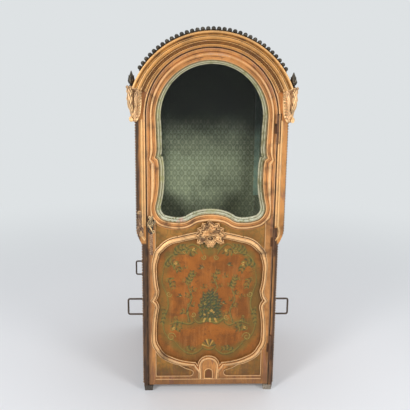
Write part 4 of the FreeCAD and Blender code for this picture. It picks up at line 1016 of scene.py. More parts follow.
def face_of_post(sx, sy):
    """Lays (across, up, out) on the post's front or rear face beside the corner, across towards the corner."""
    return lambda a, b, h: points(sx * (WIDE + a), sy * (END + h), b)


def side_of_post(sx, sy):
    """Lays (across, up, out) on the post's outer side face beside the corner, across towards the corner."""
    return lambda a, b, h: points(sx * (WIDE + h), sy * (END + a), b)


def console_body(sx, sy):
    """The console's core, wrapped round the post's corner.

    At each height it laps `lap` back over both faces and stands `out` beyond them: the plan is the superellipse
    ((lap + out) cos^k, (lap + out) sin^k), k = 0.62, gadrooned by 1 + 0.045 cos 16 phi, closed inside the post.
    """
    down, beyond, back = np.transpose([(0, 26, 28), (0.03, 28.5, 30), (0.07, 29, 30), (0.1, 24, 28), (0.14, 20, 26),
                                       (0.22, 22, 27), (0.4, 25, 28), (0.55, 22, 27), (0.7, 17, 24), (0.8, 14, 21),
                                       (0.88, 16, 16), (0.94, 19, 11), (1, 12, 5)])
    s = np.linspace(0, 1, 60)[:, None]
    out, lap = np.interp(s, down, beyond), np.interp(s, down, back)
    phi = np.linspace(0, np.pi / 2, 41)[None]
    size = (lap + out) * (1 + 0.045 * np.clip((s - 0.12) * 12, 0, 1) * np.cos(16 * phi))
    inside = 2.0 + 0 * s
    x, y = (np.concatenate([at - lap + size * f(phi) ** 0.62, *(at - depth for depth in inner)], 1)
            for at, f, inner in ((WIDE, np.cos, (lap, inside, inside)), (END, np.sin, (inside, inside, lap))))
    return solid(points(sx * x, sy * y, CONSOLE_TOP - 155 * s))


def console(sx, sy):
    """A rocaille console: core, an acanthus leaf turning out at the top, side leaves and a curl below."""
    diagonal = corner(sx, sy)
    made = [console_body(sx, sy),
            leaf(diagonal, [(0, 1352, 24), (0, 1380, 27), (0, 1420, 38), (0, 1455, 38), (0, 1480, 39),
                            (0, 1491, 43.5), (0, 1487, 46)], [2, 10, 17, 17, 19, 16, 4], lobes=6, vein=0.12,
                 thick=4, out=[(0, 0, 1)] * 4 + [(0, -0.5, 1), (0, 0.6, 1), (0, 1, 0.2)]),
            rod(diagonal, curl((-1, 1348), 9, 90, -1.4, 25), [6, 6, 5, 4, 3.5, 3])]
    for lay in (face_of_post(sx, sy), side_of_post(sx, sy)):
        made += [leaf(lay, [(-3, 1376, 17), (-3, 1402, 24), (-4, 1430, 27), (-8, 1460, 25), (-18, 1482, 27),
                            (-24, 1479, 29)], [1.5, 6, 8, 9, 9, 3], lobes=5, cut=0.55, vein=0.14, thick=4),
                 leaf(lay, [(-2, 1398, 21), (3, 1378, 21), (4, 1360, 20), (-2, 1348, 19)], [3, 7, 6, 2],
                      lobes=3, thick=3, count=24),
                 rod(lay, [(-29, 1485, 26), (-14, 1487, 29), (4, 1486, 30), (19, 1485, 27)], [3, 3.4, 3.8, 3],
                     count=24)]
    return made


def console_fruit(sx, sy):
    """The column of fruit down each inner side of a console, dwindling to its foot."""
    return [dome(lay, -24 + 1.4 * k, 1468 - 13.8 * k, 8.0 - 0.42 * k, 11.5 - 0.4 * k,
                 np.interp(k, [0, 2.7, 4.4, 6.1, 7.2, 8], [19, 24, 21, 16, 13, 14]), sides=14, rings=7)
            for lay in (face_of_post(sx, sy), side_of_post(sx, sy)) for k in range(9)]


def finial(sx, sy):
    """A flame bud on the console: a turned foot and leaves closing round it to a tip."""
    x, y = sx * 358.0, sy * 414.5
    profile = np.transpose([(0, 11), (3, 12), (5, 8), (8, 6.2), (11, 9), (14, 12.4), (22, 14), (32, 13), (42, 10.5),
                            (52, 7.2), (60, 4.2), (66, 2), (68, 0.3)])
    z = np.linspace(0, 68, 40)[:, None]
    a = circle(24)[None]
    fade = np.clip((z - 12) / 10, 0, 1)
    r = np.interp(z, *profile) * (1 + fade * (0.16 * np.cos(4 * a + 0.05 * z) + 0.06 * np.sin(z / 3.2)))
    made = [solid(points(x + r * np.cos(a), y + r * np.sin(a), CONSOLE_TOP + z))]
    for k in range(5):
        turn = 2 * math.pi * k / 5 + 0.4
        c, d = math.cos(turn), math.sin(turn)
        spots = [(c * p, CONSOLE_TOP + q, d * p) for p, q in ((9, 12), (13.5, 22), (14, 33), (12, 42), (13.5, 47))]
        made.append(leaf(lambda a, b, h: points(x + a, y + h, b), spots, [3, 5.5, 5.5, 3.6, 0.8],
                         out=[(c, 0, d)] * 5, lobes=2, cut=0.4, thick=1.6, count=18, cols=9))
    return made


for name, make, finish, replaced in (("consoles_carved", console, gilt_dull, "consoles"),
                                     ("console_fruit", console_fruit, fruit_dark, ""),
                                     ("finials_cast", finial, bronze, "finials")):
    gathered(name, [one for at in CORNERS for one in make(*at)], "chair", finish, replaced)


def shell():
    """The rocaille on the lock rail: a ribbed fan in a ruff of cut leaves, a deep hollow, and a cup of leaves below.

    The fan's point at angle t from upright and share r of the reach stands 7 + 7 sin(pi r^0.8) + 5 r (rib - 0.5),
    with 9 ribs over its spread, and its rim is scalloped by the ribs.
    """
    lay = front()
    r = np.linspace(0.12, 1, 22)[:, None]
    t = np.radians(np.linspace(-70, 70, 91))[None]
    ribs = np.abs(np.cos(9 * np.pi * (t / math.radians(140) + 0.5)))
    reach = 50 * (1 - 0.12 * (1 - ribs))
    tall = 7 + 7 * np.sin(np.pi * r ** 0.8) + 5 * r * (ribs - 0.5)
    top = points(reach * r * np.sin(t), 808 + reach * r * np.cos(t), tall)
    under = top.copy()
    under[..., 2] = np.where(r > 0.85, top[..., 2] - 4, 2.0)
    made = [laid(lay, np.concatenate([top, under[:, ::-1]], 1))]
    ruff = [(a, (74, 62, 71, 60, 72, 62, 75, 64, 72, 60)[k % 10]) for k, a in enumerate(range(0, 127, 14))]
    for side in (-1, 1):
        for k, (angle, far) in enumerate(ruff):
            if angle == 0 and side > 0:
                continue
            way, bow, high = math.radians(angle), (0.1, -0.12)[k % 2], (12, 7)[k % 2]
            line = [(side * far * s * math.sin(way + bow * s), 806 + (far + 4) * s * math.cos(way + bow * s),
                     2 + high * math.sin(2.5 * s) + 2.5 * s) for s in (0.25, 0.45, 0.65, 0.85, 1.0)]
            made.append(leaf(lay, line, [7, 12, 14.5, 12.5, 3.5], lobes=3, vein=0.22, cup=0.35, thick=3.4,
                             count=24, cols=13))
        for angle, far, high in ((150, 42, 12), (168, 52, 14)):
            way = math.radians(angle)
            line = [(side * far * s * math.sin(way), 800 + far * s * math.cos(way), 3 + high * math.sin(2.3 * s))
                    for s in (0.3, 0.5, 0.7, 0.88, 1.0)]
            made.append(leaf(lay, line, [3, 8, 9, 7, 1.2], cut=0.6, vein=0.2, thick=3.4, count=22, cols=11))
        made.append(rod(lay, [(side * a, b, c) for a, b, c in curl((40, 792), 12, 200, -1.3, 11, 0.3)],
                        [3.0, 3.6, 3.4, 2.8, 2.4]))
        made += [dome(lay, side * a, b, 3.4, 3.2, 11, sides=9, rings=4) for a, b in ((17, 828), (25, 812), (22, 784))]
    a = np.linspace(0, 2 * np.pi, 40)
    lip = points(15 * np.cos(a), 792 + 11 * np.sin(a), 11.5 + 1.8 * np.cos(7 * a))
    return [*made, leaf(lay, [(0, 782, 8), (0, 772, 14), (0, 762, 14), (0, 752, 9)], [5, 11, 10, 1], cut=0.6,
                        vein=0.2, thick=4, count=22),
            rod(lay, lip, [2.2, 2.2], count=70), dome(lay, 0, 795, 6.5, 6, 8, sides=20, lobes=5, depth=0.2)]


# a dark disc in the shell's hollow: painted shade
gathered("shell_hollow_shadow", [dome(front(), 0, 792, 12, 1.0, 8.0, sides=24)], "door", pearl_dark)
gathered("door_shell_carved", shell(), "door", gilt_carved, "door_shell")


# ---------------- painted work

OLIVE, LEAF, POND, OCHRE, GLEAM, RUST, SHADE = (np.array(tone(*c)[:3]) for c in (
    (100, 96, 42), (66, 74, 40), (56, 66, 46), (186, 146, 72), (214, 172, 92), (138, 70, 42), (66, 46, 26)))


class Sheet:
    """A painted face: a grid of points over it in millimetres, the colour laid on each, and how thick it lies."""

    def __init__(self, step, low, high):
        self.size = [int(round((b - a) / step)) + 1 for a, b in zip(low, high)]
        across, up = (np.linspace(a, b, n) for a, b, n in zip(low, high, self.size))
        self.spots = np.stack(np.meshgrid(across, up), -1).reshape(-1, 2)
        self.paint = np.zeros((len(self.spots), 3))
        self.cover = np.zeros(len(self.spots))
        self.place = (np.zeros(2), np.ones(2))

    def brush(self, line, wide, colour, strength=0.9, soft=1.6, count=5):
        """One stroke: `wide` swells along the line, and the paint thins over `soft` at its edge.

        The distance to the line is the least over its pieces, each |p - (a + t(b - a))| with t from 0 to 1.
        """
        middle, scale = self.place
        bend = smooth_line(line, count) * scale + middle
        half = np.interp(np.linspace(0, 1, count), np.linspace(0, 1, len(wide)), wide) * 0.75
        room = half.max() + soft
        near = np.nonzero(np.all((self.spots > bend.min(0) - room) & (self.spots < bend.max(0) + room), 1))[0]
        if not len(near):
            return
        p, a, ab = self.spots[near][:, None], bend[None, :-1], np.diff(bend, axis=0)[None]
        t = np.clip(((p - a) * ab).sum(-1) / np.maximum((ab ** 2).sum(-1), 1e-9), 0, 1)
        gap = np.linalg.norm(p - a - t[..., None] * ab, axis=-1) - (half[:-1] + t * np.diff(half))
        thick = strength * np.clip(0.5 - gap.min(1) / soft, 0, 1)
        old = self.cover[near]
        new = old + (1 - old) * thick
        share = (thick / np.maximum(new, 1e-6))[:, None]
        self.paint[near] = self.paint[near] * (1 - share) + colour * share
        self.cover[near] = new

    def piece(self, name, ring, lay, body, finish, height=0.3):
        """Makes the face inside a ring, with its paint and how near it lies to its edge."""
        inside, far = within(self.spots, ring)
        columns, rows = self.size
        faces = quads(rows, columns)[:, ::-1]
        used, faces = np.unique(faces[inside[faces].all(1)], return_inverse=True)
        spots = self.spots[used]
        marks = {"paint": self.paint[used], "cover": self.cover[used], "rim": np.exp(-far[used] / 16.0)}
        to_mesh(name, lay(*spots.T, height), faces.reshape(-1, 4), body, finish,
                marks, flat=True)


def within(spots, ring):
    """Whether each point lies inside a ring (a ray crosses it an odd number of times) and how far off it is."""
    inside, far = [], []
    (x1, z1), (x2, z2) = ring.T, np.roll(ring, -1, 0).T
    slope = (x2 - x1) / np.where(z2 == z1, 1e-9, z2 - z1)
    for part in np.array_split(spots, 60):
        x, z = part[:, :1], part[:, 1:]
        crossed = ((z1 > z) != (z2 > z)) & (x < x1 + (z - z1) * slope)
        inside.append(crossed.sum(1) % 2 == 1)
        far.append(np.sqrt(((x - x1) ** 2 + (z - z1) ** 2).min(1)))
    return np.concatenate(inside), np.concatenate(far)


def along(line, count):
    """Points spread evenly along a smooth line, and its direction at each."""
    fine = smooth_line(line, 120)
    place = np.concatenate([[0], np.cumsum(np.linalg.norm(np.diff(fine, axis=0), axis=1))])
    at = np.linspace(0, place[-1], count)
    spots = points(*(np.interp(at, place, fine[:, k]) for k in range(2)))
    return spots, unit(np.gradient(spots, axis=0))


def sprig(sheet, line, length, pitch, luck, stem=1.6, colours=(OLIVE, LEAF)):
    """A leafy stem: leaves in pairs along a line, long in the middle, each with a touch of light."""
    sheet.brush(line, [stem, stem * 1.4, stem * 0.7], colours[0], 0.85, 2.0, 20)
    reach = np.linalg.norm(np.diff(np.array(line, float), axis=0), axis=1).sum()
    spots, ways = along(line, max(3, int(reach / pitch)))
    for k, (spot, way) in enumerate(zip(spots, ways)):
        for side in (-1, 1):
            turn = side * luck.uniform(0.5, 1.1)
            c, d = math.cos(turn), math.sin(turn)
            out = np.array([c * way[0] - d * way[1], d * way[0] + c * way[1]])
            far = length * 1.5 * luck.uniform(0.7, 1.15) * (0.6 + 0.4 * math.sin(math.pi * (k + 0.5) / len(spots)))
            bow = side * 0.18 * far * np.array([-out[1], out[0]])
            sheet.brush([spot, spot + out * far * 0.5 + bow, spot + out * far], [0.8, far * 0.35, 0.4],
                        colours[k % 2], 0.92, 2.0, 8)
            if k % 2 == 0:
                sheet.brush([spot + bow * 0.4, spot + out * far * 0.7 + bow], [0.7, 1.2, 0.4], OCHRE, 0.6)


def whorl(sheet, middle, radius, start, turns):
    """A painted scroll end: a spiral running in to its eye, with a line of light on its outside."""
    bend = np.array(curl(middle, radius, start, turns, shrink=0.2))[:, :2]
    sheet.brush(bend, [3.4, 3.4 * 1.2, 3.4 * 0.6], OLIVE, 0.85, 2.0, 36)
    sheet.brush(bend + [0.8, 1.6], [1.0, 1.4, 0.6], GLEAM, 0.65, 1.6, 36)


def scroll(sheet, line, wide=(1.5, 5.5, 4.0, 2.0)):
    """A painted scroll band: a swelling stroke, shaded under and lit over."""
    line = np.array(line, float)
    sheet.brush(line + [1.2, -2.4], wide, SHADE, 0.65, 3.0, 30)
    sheet.brush(line, wide, OLIVE, 0.92, 2.0, 30)
    sheet.brush(line + [-0.6, 1.8], [w * 0.32 for w in wide], OCHRE, 0.4, 1.6, 30)


def blossom(sheet, at, size, colour, luck):
    """A flower of five petals round a dark eye."""
    at = np.array(at, float)
    for k in range(5):
        a = 2 * math.pi * k / 5 + luck.uniform(0, 1)
        way = np.array([math.cos(a), math.sin(a)])
        sheet.brush([at + way * size * 0.2, at + way * size], [size * 0.4, size * 0.75], colour)
    sheet.brush([at, at + 0.6], [size * 0.4, size * 0.4], RUST, 0.9, 1.4, 3)


def bird(sheet, at, flip, size):
    """A small bird on the wing: body, beak, forked tail and two wings."""
    for line, wide, colour in (
            ([(-0.5, -0.1), (0, 0), (0.42, 0.2)], [1.5, 0.34 * size, 3.0], POND),
            ([(0.4, 0.2), (0.56, 0.22)], [3.4, 3.0], POND), ([(0.56, 0.22), (0.74, 0.2)], [1.4, 0.6], OCHRE),
            ([(-0.4, -0.08), (-0.8, -0.02), (-1.1, -0.12)], [3.4, 2.6, 1.2], LEAF),
            ([(-0.4, -0.12), (-0.75, -0.2), (-1.0, -0.36)], [3.0, 2.2, 1.0], LEAF),
            ([(-0.05, 0.08), (-0.3, 0.5), (-0.7, 0.72)], [4.0, 5.0, 1.2], POND),
            ([(0.06, 0.1), (0.1, 0.55), (-0.1, 0.9)], [3.6, 4.4, 1.0], LEAF),
            ([(-0.2, -0.06), (0.2, 0.0)], [1.4, 1.8], GLEAM)):
        sheet.brush(np.array(at, float) + np.array([flip * size, size]) * line, wide, colour, count=8)


def tree(sheet, trunk, luck, size=1.0):
    """A slender garden tree: a bent trunk, side boughs, and a tuft of leaves on each."""
    trunk = np.array(trunk, float)
    sheet.brush(trunk, [7 * size, 4.6 * size, 2.4], LEAF, 0.92, 2.0, 30)
    sheet.brush(trunk + [-1.2, 0.4], [1.6, 1.2, 0.8], OCHRE, 0.7, 1.5, 30)
    for k, spot in enumerate(along(trunk, 7)[0][1:]):
        far = size * luck.uniform(22, 34) * (1 - 0.06 * k)
        tip = spot + np.array([far if k % 2 else -far, far * luck.uniform(0.2, 0.6)])
        sprig(sheet, [spot, (spot + tip) / 2 + [0, 5 * size], tip], 11 * size, 6.5, luck, 1.4)
    sprig(sheet, [trunk[-2], trunk[-1], trunk[-1] + [2, 16 * size]], 13 * size, 6, luck)


# The right half of the garden's border, in millimetres from the middle of the field.
BLOOM = [[(150, -190), (196, -140), (206, -60), (196, 20), (208, 100), (176, 196)],
         [(176, 196), (120, 226), (60, 232), (0, 214)], [(150, -190), (90, -222), (20, -200)],
         [(180, -90), (110, -90), (40, -84)]]
BANDS = [([(150, -176), (192, -140), (204, -78), (182, -22), (186, 26), (206, 84), (200, 138)],),
         ([(200, 138), (186, 184), (150, 208), (112, 204)],),
         ([(112, 226), (76, 244), (44, 226), (30, 200)], (1.5, 5.0, 4.0, 2.0)),
         ([(150, -176), (112, -214), (70, -226), (34, -206), (22, -180)], (2.0, 5.5, 4.5, 1.5))]
WHORLS = [((112, 214), 15, -90, 1.3), ((168, -152), 20, 90, -1.4), ((178, 34), 13, 90, 1.2),
          ((26, 190), 11, -90, -1.2)]      # middle, radius, start on from 90 degrees, turns
SPRIGS = [([(196, 150), (168, 170), (146, 158), (136, 132)], 15, 7), ([(188, 100), (168, 86), (162, 62)], 13, 7),
          ([(206, -20), (198, -52), (206, -92)], 11, 8), ([(172, -120), (150, -108), (128, -118)], 14, 7),
          ([(104, 226), (84, 212), (62, 214)], 15, 6.5), ([(44, 226), (24, 240), (4, 232)], 12, 6.5),
          ([(112, -214), (86, -200), (62, -206)], 11, 7), ([(160, 196), (132, 226), (100, 238)], 14, 6.5),
          ([(150, -60), (142, -88), (122, -96)], 10, 8)]


def garden(sheet, middle, scale, seed):
    """A garden in a scrolled frame: swags above, a bouquet on a bracket, trees, birds, and a fan below."""
    sheet.place = (np.array(middle, float), np.array(scale, float))
    luck = np.random.default_rng(seed)
    for s in (-1, 1):
        def at(rough):
            return [np.array(p, float) * [s, 1.0] + luck.uniform(-2.5, 2.5, 2) for p in rough]

        # the green bloom the border lies in
        for line in [at(rough) for rough in BLOOM]:
            sheet.brush(line, [26, 40, 26], OLIVE, 0.42, 22.0, 24)
        for rough, *wide in BANDS:
            scroll(sheet, at(rough), *wide)
        for (x, z), radius, start, turns in WHORLS:
            whorl(sheet, (x * s, z), radius, 90 + start * s, turns * s)
        for rough, length, pitch in SPRIGS:
            sprig(sheet, at(rough), length, pitch, luck)
        for spot in at([(146, 166), (70, 222), (158, -112)]):
            blossom(sheet, spot, 5.0, OCHRE, luck)
        # a low bank and grass tufts along the ground
        scroll(sheet, at([(176, -96), (134, -84), (92, -96), (64, -84)]), (2.0, 4.5, 5.0, 2.0))
        for k in range(9):
            foot = np.array([s * (70 + 12 * k), -90 + 5 * math.sin(k)])
            sheet.brush([foot, foot + [luck.uniform(-7, 7), luck.uniform(9, 19)]], [2.4, 0.6], (LEAF, OLIVE)[k % 2])

    # bracket and bouquet
    for line in ([(-44, -66), (4, -40), (48, -66)], [(-20, -30), (4, 10), (28, -30)]):
        sheet.brush(line, [30, 56, 30], LEAF, 0.55, 18.0, 10)
    scroll(sheet, [(-74, -62), (-48, -88), (-6, -80), (34, -90), (66, -70), (78, -82)], (2, 7, 8, 7, 2))
    whorl(sheet, (-70, -54), 12, 200, 1.2)
    whorl(sheet, (74, -66), 12, -20, -1.2)
    root = np.array([4, -76])
    for k in range(11):
        a = math.pi * (0.12 + 0.76 * k / 10)
        reach = 52 + 52 * math.sin(a) ** 3 + luck.uniform(-5, 5)
        tip = np.array([4 + 0.86 * reach * math.cos(a), -74 + 1.1 * reach * math.sin(a)])
        sprig(sheet, [root, root * 0.5 + tip * 0.5 + [0, 4], tip], 16, 6.0, luck, 2.2, (LEAF, POND))
    for k in range(15):
        a, r = luck.uniform(0.2, math.pi - 0.2), luck.uniform(22, 74)
        blossom(sheet, (4 + 0.8 * r * math.cos(a), -72 + 1.15 * r * math.sin(a)), luck.uniform(3.0, 4.6),
                (OCHRE, OLIVE, OLIVE)[k % 3], luck)
    for k in range(7):
        x = -38 + 14 * k
        sheet.brush([(x, -84), (x * 0.8, -72)], [5, 7], (OLIVE, OCHRE)[k % 2], 0.9, 2, 4)
    # trees, birds, loose sprigs, and a fan at the foot
    for trunk, size in (([(-88, -84), (-96, -30), (-78, 20), (-94, 74), (-80, 116)], 1.0),
                        ([(104, -86), (92, -34), (112, 12), (98, 60), (110, 98)], 0.9),
                        ([(20, 34), (34, 66), (20, 96), (30, 124)], 0.7)):
        tree(sheet, trunk, luck, size)
    for spot, flip, size in (((-34, 146), 1, 17), ((84, 158), -1, 15), ((-128, 26), 1, 14), ((62, -4), -1, 13)):
        bird(sheet, spot, flip, size)
    for spot in ((-36, 60), (58, 106), (-120, 140), (134, 20), (-40, -10)):
        sprig(sheet, [spot, np.array(spot) + [9, 8], np.array(spot) + [20, 8]], 9, 6, luck, 1.2)
    for k in range(9):
        a = math.pi * (0.1 + 0.8 * k / 8)
        sheet.brush([(0, -196), (30 * math.cos(a), -196 + 34 * math.sin(a))], [1.4, 5.0], (POND, OLIVE, OCHRE)[k % 3])
    scroll(sheet, [(-30, -190), (-14, -206), (14, -206), (30, -190)], (2, 4, 4, 2))


def ring_grown(path, out):
    """A ring moved outward along its normals."""
    return path[0] + unit(path[1]) * out


# a painting's step, lower left and upper right corner, and its garden's middle, scale and seed
for step, low, high, middle, scale, seed, pieces in (
        (2.3, (-258, 136), (258, 802), (0, 466), (1.1, 1.2), 4,
         [("door_painting", panel_path, 1.5, front(390.0), "door", panel_paint, 0.35)]),
        (3.6, (-246, 132), (246, 694), (0, 408), (-1.04, 0.98), 9,
         [(f"side_painting_{name}", lower_path, -21, flank(side, NARROW), "chair", side_art)
          for name, side in SIDES]),
        (3.8, (-226, 102), (226, 722), (0, 410), (0.94, 1.06), 12,
         [("rear_painting_lower", rear_paths["lower"], -21, rear(), "chair", side_art)]),
        (4.0, (-226, 870), (226, 1592), (0, 1216), (-0.94, 1.18), 15,
         [("rear_painting_upper", rear_paths["upper"], -21, rear(), "chair", side_art)])):
    sheet = Sheet(step, low, high)
    garden(sheet, middle, scale, seed)
    for name, path, out, *rest in pieces:
        sheet.piece(name, ring_grown(path, out), *rest)


# ---------------- beads, lining strips and hardware of the door

LINE_BEAD = [(-1.8, 0), (-1.7, 0.8, 0.2), (-0.8, 1.7, 0.5), (0.8, 1.7, 0.2), (1.7, 0.8), (1.8, 0)]
LEG = [(0, 0), (0.4, 2.4, 0.4), (2.2, 2.2), (2.8, 1.0), (3.6, 1.6, 0.3), (6.4, 7.0, 1.0), (9.4, 8.4, 0.8),
       (13.4, 6.4, 0.8), (15.6, 2.8), (16.0, 1.2), (17.4, 2.4, 0.3), (19.0, 0)]
LOW_FIELD = [(259, 216), (259, 79), (92, 79, -17), (92, 113), (118, 123), (152, 143)]
STRIPS = (([(283.4, 340.2), (282.2, 340.2), (282.2, 354.8), (283.4, 354.8)], 452, 1440),
          ([(292.6, 338.4), (282.6, 338.4), (282.6, 339.9), (292.6, 339.9)], 700, 833.6))
ELBOW_PAD = [(295.8, 756), (293.4, 758), (292.8, 828), (294.2, 834.2), (310.8, 834.2), (310.8, 832.2), (295.8, 832.2)]
for name, side in SIDES:
    low = line_path(*[(x * side, z, *(bulge * side for bulge in rest)) for x, z, *rest in LOW_FIELD], step=5)
    bead(f"field_bead_low_{name}", low, LINE_BEAD, "door", gilt_stile)
    bead(f"field_bead_high_{name}", line_path((259 * side, 905), (259 * side, 712), step=10), LINE_BEAD, "door",
         gilt_stile)
    z = np.linspace(141, 66, 12)
    inner = points(side * np.interp(z, [66, 100, 141], [50, 51, 54.5]), z)
    bead(f"niche_leg_{name}", (inner, np.repeat([[-side, 0.0]], 12, 0)), LEG, "door", gilt)
    gathered(f"elbow_pad_{name}", [bar(ELBOW_PAD, side, -338.5, 336, 60, (0, 2, 1))], "chair", damask_side)
    gathered(f"lining_return_{name}", [bar(ring, side, low, high, 30) for ring, low, high in STRIPS], "chair",
             damask_wall)
bead("foot_rail_bead", line_path((-262, 62), (262, 62), step=20), LINE_BEAD, "door", gilt_stile)
niche_path = outline([(0, 68), (18, 68), (18, 98, 18 * ROUND), (0, 116)], 2.0)
moulding("niche_bead", niche_path, [(t + 2.2, h, *r) for t, h, *r in LINE_BEAD], front(), "door", gilt_bright,
         ground=FOOT)
niche_sheet = Sheet(2.0, (-20, 66), (20, 118))
niche_sheet.brush([(0, 74), (0, 92), (0, 108)], [22, 18, 10], 0.6 * RUST + 0.4 * SHADE, 0.9, 4.0, 20)
niche_sheet.piece("niche_field", ring_grown(niche_path, 1.0), front(), "door", side_art)
# the corner strips wear the pale damask, painted light
moulding("lining_corners", arch_path(284.0, 834, 8.0),
         [(-2, 0), (-1.9, 2.2, 0.5), (-0.4, 3.3, 0.2), (35.4, 3.3, 0.2), (36, 2.6), (36, 0)],
         lambda a, b, h: points(-a, 339.9 - h, b), "chair", silk_edge, closed=False)
gathered("seat_front_nails", [row_of(lambda a, b, h: points(a, -55 - h, b),
                                     np.array([(x, 424.0) for x in np.arange(-272, 273, 17.0)]), 4.2, 2.2)],
         "chair", bronze_worn)

LEATHER = 366.0     # radius of the roof leather's face


def on_roof(a, b, h):
    """Lays (run along the curve, run along Y, height) on the roof."""
    return points((LEATHER + h) * np.sin(a / LEATHER), b, ROOF + (LEATHER + h) * np.cos(a / LEATHER))


run = np.arange(-420, 421, 21.0)
gathered("roof_nails", [row_of(on_roof, points(run, y), 4.4, 2.4) for y in (-333, 333)], "chair",
         bronze)
gathered("roof_welts", [rod(on_roof, [(LEATHER * math.radians(turn), y, 0.6) for y in (-338, -110, 120, 338)],
                            [3.4] * 4, flat=0.7, sides=8, count=60) for turn in (-34, 0, 34)], "chair", leather)


def cushion():
    """The seat's squab: a superellipsoid filled by a cloth simulation, flat below, with a piped seam round it.

    The form it starts from is (x, y) = half size * (cos u, sin u)^0.3 * cos(v)^0.35 and z = 27 sin(v)^0.6 over its
    middle. No point of it moves more than 16 mm, and none goes below the board.
    """
    u = circle(120)[:, None]
    v = np.linspace(-np.pi / 2, np.pi / 2, 40)[None]

    def power(value, share):
        return np.sign(value) * np.abs(value) ** share

    ring = power(np.cos(v), 0.35)
    spots = points(266 * power(np.cos(u), 0.3) * ring, 150 + 193 * power(np.sin(u), 0.3) * ring,
                      482 + 27 * power(np.sin(v), 0.6))
    piece = to_mesh("seat_squab", spots.reshape(-1, 3), quads(120, 40, True, False), "chair", damask_seat, {},
                    "seat_cushion")
    remesh = piece.modifiers.new("remesh", "REMESH")
    remesh.mode, remesh.voxel_size, remesh.use_smooth_shade = "VOXEL", 0.0075, True
    shape = bpy.data.meshes.new_from_object(piece.evaluated_get(bpy.context.evaluated_depsgraph_get()))
    piece.modifiers.clear()
    piece.data = shape

    def read(mesh):
        found = np.empty(len(mesh.vertices) * 3, np.float32)
        mesh.vertices.foreach_get("co", found)
        return found.reshape(-1, 3)

    now = start = read(piece.data)
    cloth = piece.modifiers.new("cloth", "CLOTH").settings
    cloth.quality, cloth.mass = 6, 0.3
    cloth.tension_stiffness = cloth.compression_stiffness = 12
    cloth.use_pressure, cloth.uniform_pressure_force = True, 4
    cloth.effector_weights.gravity = 0
    for step in range(1, 21):
        bpy.context.scene.frame_set(step)
    now = read(piece.evaluated_get(bpy.context.evaluated_depsgraph_get()).data)
    piece.modifiers.clear()
    bpy.context.scene.frame_set(1)
    move = now - start
    far = np.linalg.norm(move, axis=1, keepdims=True)
    now = start + move * np.minimum(1, 0.016 / np.maximum(far, 1e-9))
    now = np.clip(now, [-0.282, -0.058, 0.4506], [0.282, 0.3535, 0.53])
    piece.data.vertices.foreach_set("co", now.ravel())
    piece.data.update()
    piece.data.materials.clear()
    piece.data.materials.append(damask_seat)
    smooth = piece.modifiers.new("smooth", "SUBSURF")
    smooth.levels = smooth.render_levels = 1

    middle = np.array([0, 0.15])
    level = now[np.abs(now[:, 2] - 0.484) < 0.007][:, :2] - middle
    turn = np.arctan2(level[:, 1], level[:, 0])
    order = np.argsort(turn)
    a = np.linspace(-np.pi, np.pi, 180, endpoint=False)
    reach = np.interp(a, turn[order], np.linalg.norm(level[order], axis=1), period=2 * np.pi)
    path = (points(reach * np.cos(a), reach * np.sin(a)) + middle) / MM
    way = unit(np.roll(path, -1, 0) - np.roll(path, 1, 0))
    out = points(way[:, 1], -way[:, 0])
    k = circle(10)
    tube = np.concatenate([path[:, None] + out[:, None] * (3.2 * np.cos(k))[None, :, None],
                           np.broadcast_to(484 + 3.2 * np.sin(k), (180, 10))[..., None]], -1)
    to_mesh("squab_piping", tube.reshape(-1, 3), quads(180, 10, True, True), "chair", piping_cord, {})


cushion()

door, post = front(), face_of_post(-1, -1)
gathered("handle_scrolls", [
    leaf(door, [(-278, 838, 12), (-282, 862, 17), (-277, 886, 17), (-268, 903, 14)], [3, 9, 10, 3], thick=3),
    *(leaf(door, spine, wide, lobes=3, thick=2.6, count=24) for spine, wide in (
        ([(-277, 846, 13), (-270, 862, 17), (-262, 872, 15), (-257, 884, 12)], [3, 8, 7, 2]),
        ([(-278, 842, 12), (-287, 850, 16), (-291, 864, 15), (-289, 876, 12)], [3, 6, 6, 2]))),
    rod(door, [(-292, 868, 9), (-284, 852, 14), (-274, 834, 14), (-267, 818, 10)], [3.2, 4.2, 4.4, 3.4], flutes=6,
        depth=0.12),
    rod(door, curl((-268, 826), 8, 160, -1.3, 12), [3.4, 3.2, 2.6, 2], count=36),
    rod(door, curl((-282, 894), 7, 20, 1.2, 13), [3.0, 2.8, 2.2, 1.6], count=36),
    dome(door, -277.5, 857, 6.5, 6, 12, lobes=6, depth=0.12)], "door", bronze_worn)
gathered("lock_plate_scales", [
    dome(door, -281.5 + 7.6 * (k % 2) + math.sin(2.1 * k), 716 + 4.9 * k, 3.9, 2.4, 2.2, sides=9, rings=4, lobes=3,
         depth=0.2) for k in range(20)], "door", plate_worn)
gathered("keeper_scrolls", [
    leaf(post, [(-26, 806, 2), (-20, 836, 6), (-12, 868, 7), (-16, 900, 5), (-12, 926, 2)], [4, 12, 11, 9, 3],
         lobes=6, thick=3.2),
    leaf(post, [(-14, 796, 2), (-8, 816, 6), (-6, 840, 6), (-12, 858, 3)], [3, 8, 8, 3], thick=2.6,
         count=24),
    rod(post, curl((-14, 916), 9, -40, 1.3, 6), [3.2, 3, 2.4, 1.8], count=36),
    rod(post, curl((-19, 812), 9, 140, 1.3, 6), [3.4, 3, 2.4, 1.8], count=36),
    dome(post, -15, 862, 5.5, 5, 5, lobes=6, depth=0.12)], "chair", plate_worn)


# ---------------- floor, light and camera

BACKDROP = tone(222, 226, 228)
LAMPS = (("key", (-2.5, -3.6, 2.4), (0.05, 0, 0.9), 1.3, 108), ("fill", (2.7, -3.4, 2.1), (0, 0, 0.9), 1.6, 82),
         ("top", (0.3, 0.6, 4.2), (0, 0, 0.8), 2.6, 60))      # where it stands, where it aims, size, power
SENSOR, FOCAL = 36, 36 * 631 / 410      # millimetres
EYE = (-0.142, -3.244, 1.642)
YAW, PITCH, ROLL = (math.radians(turn) for turn in (2.31, 13.62, -0.70))


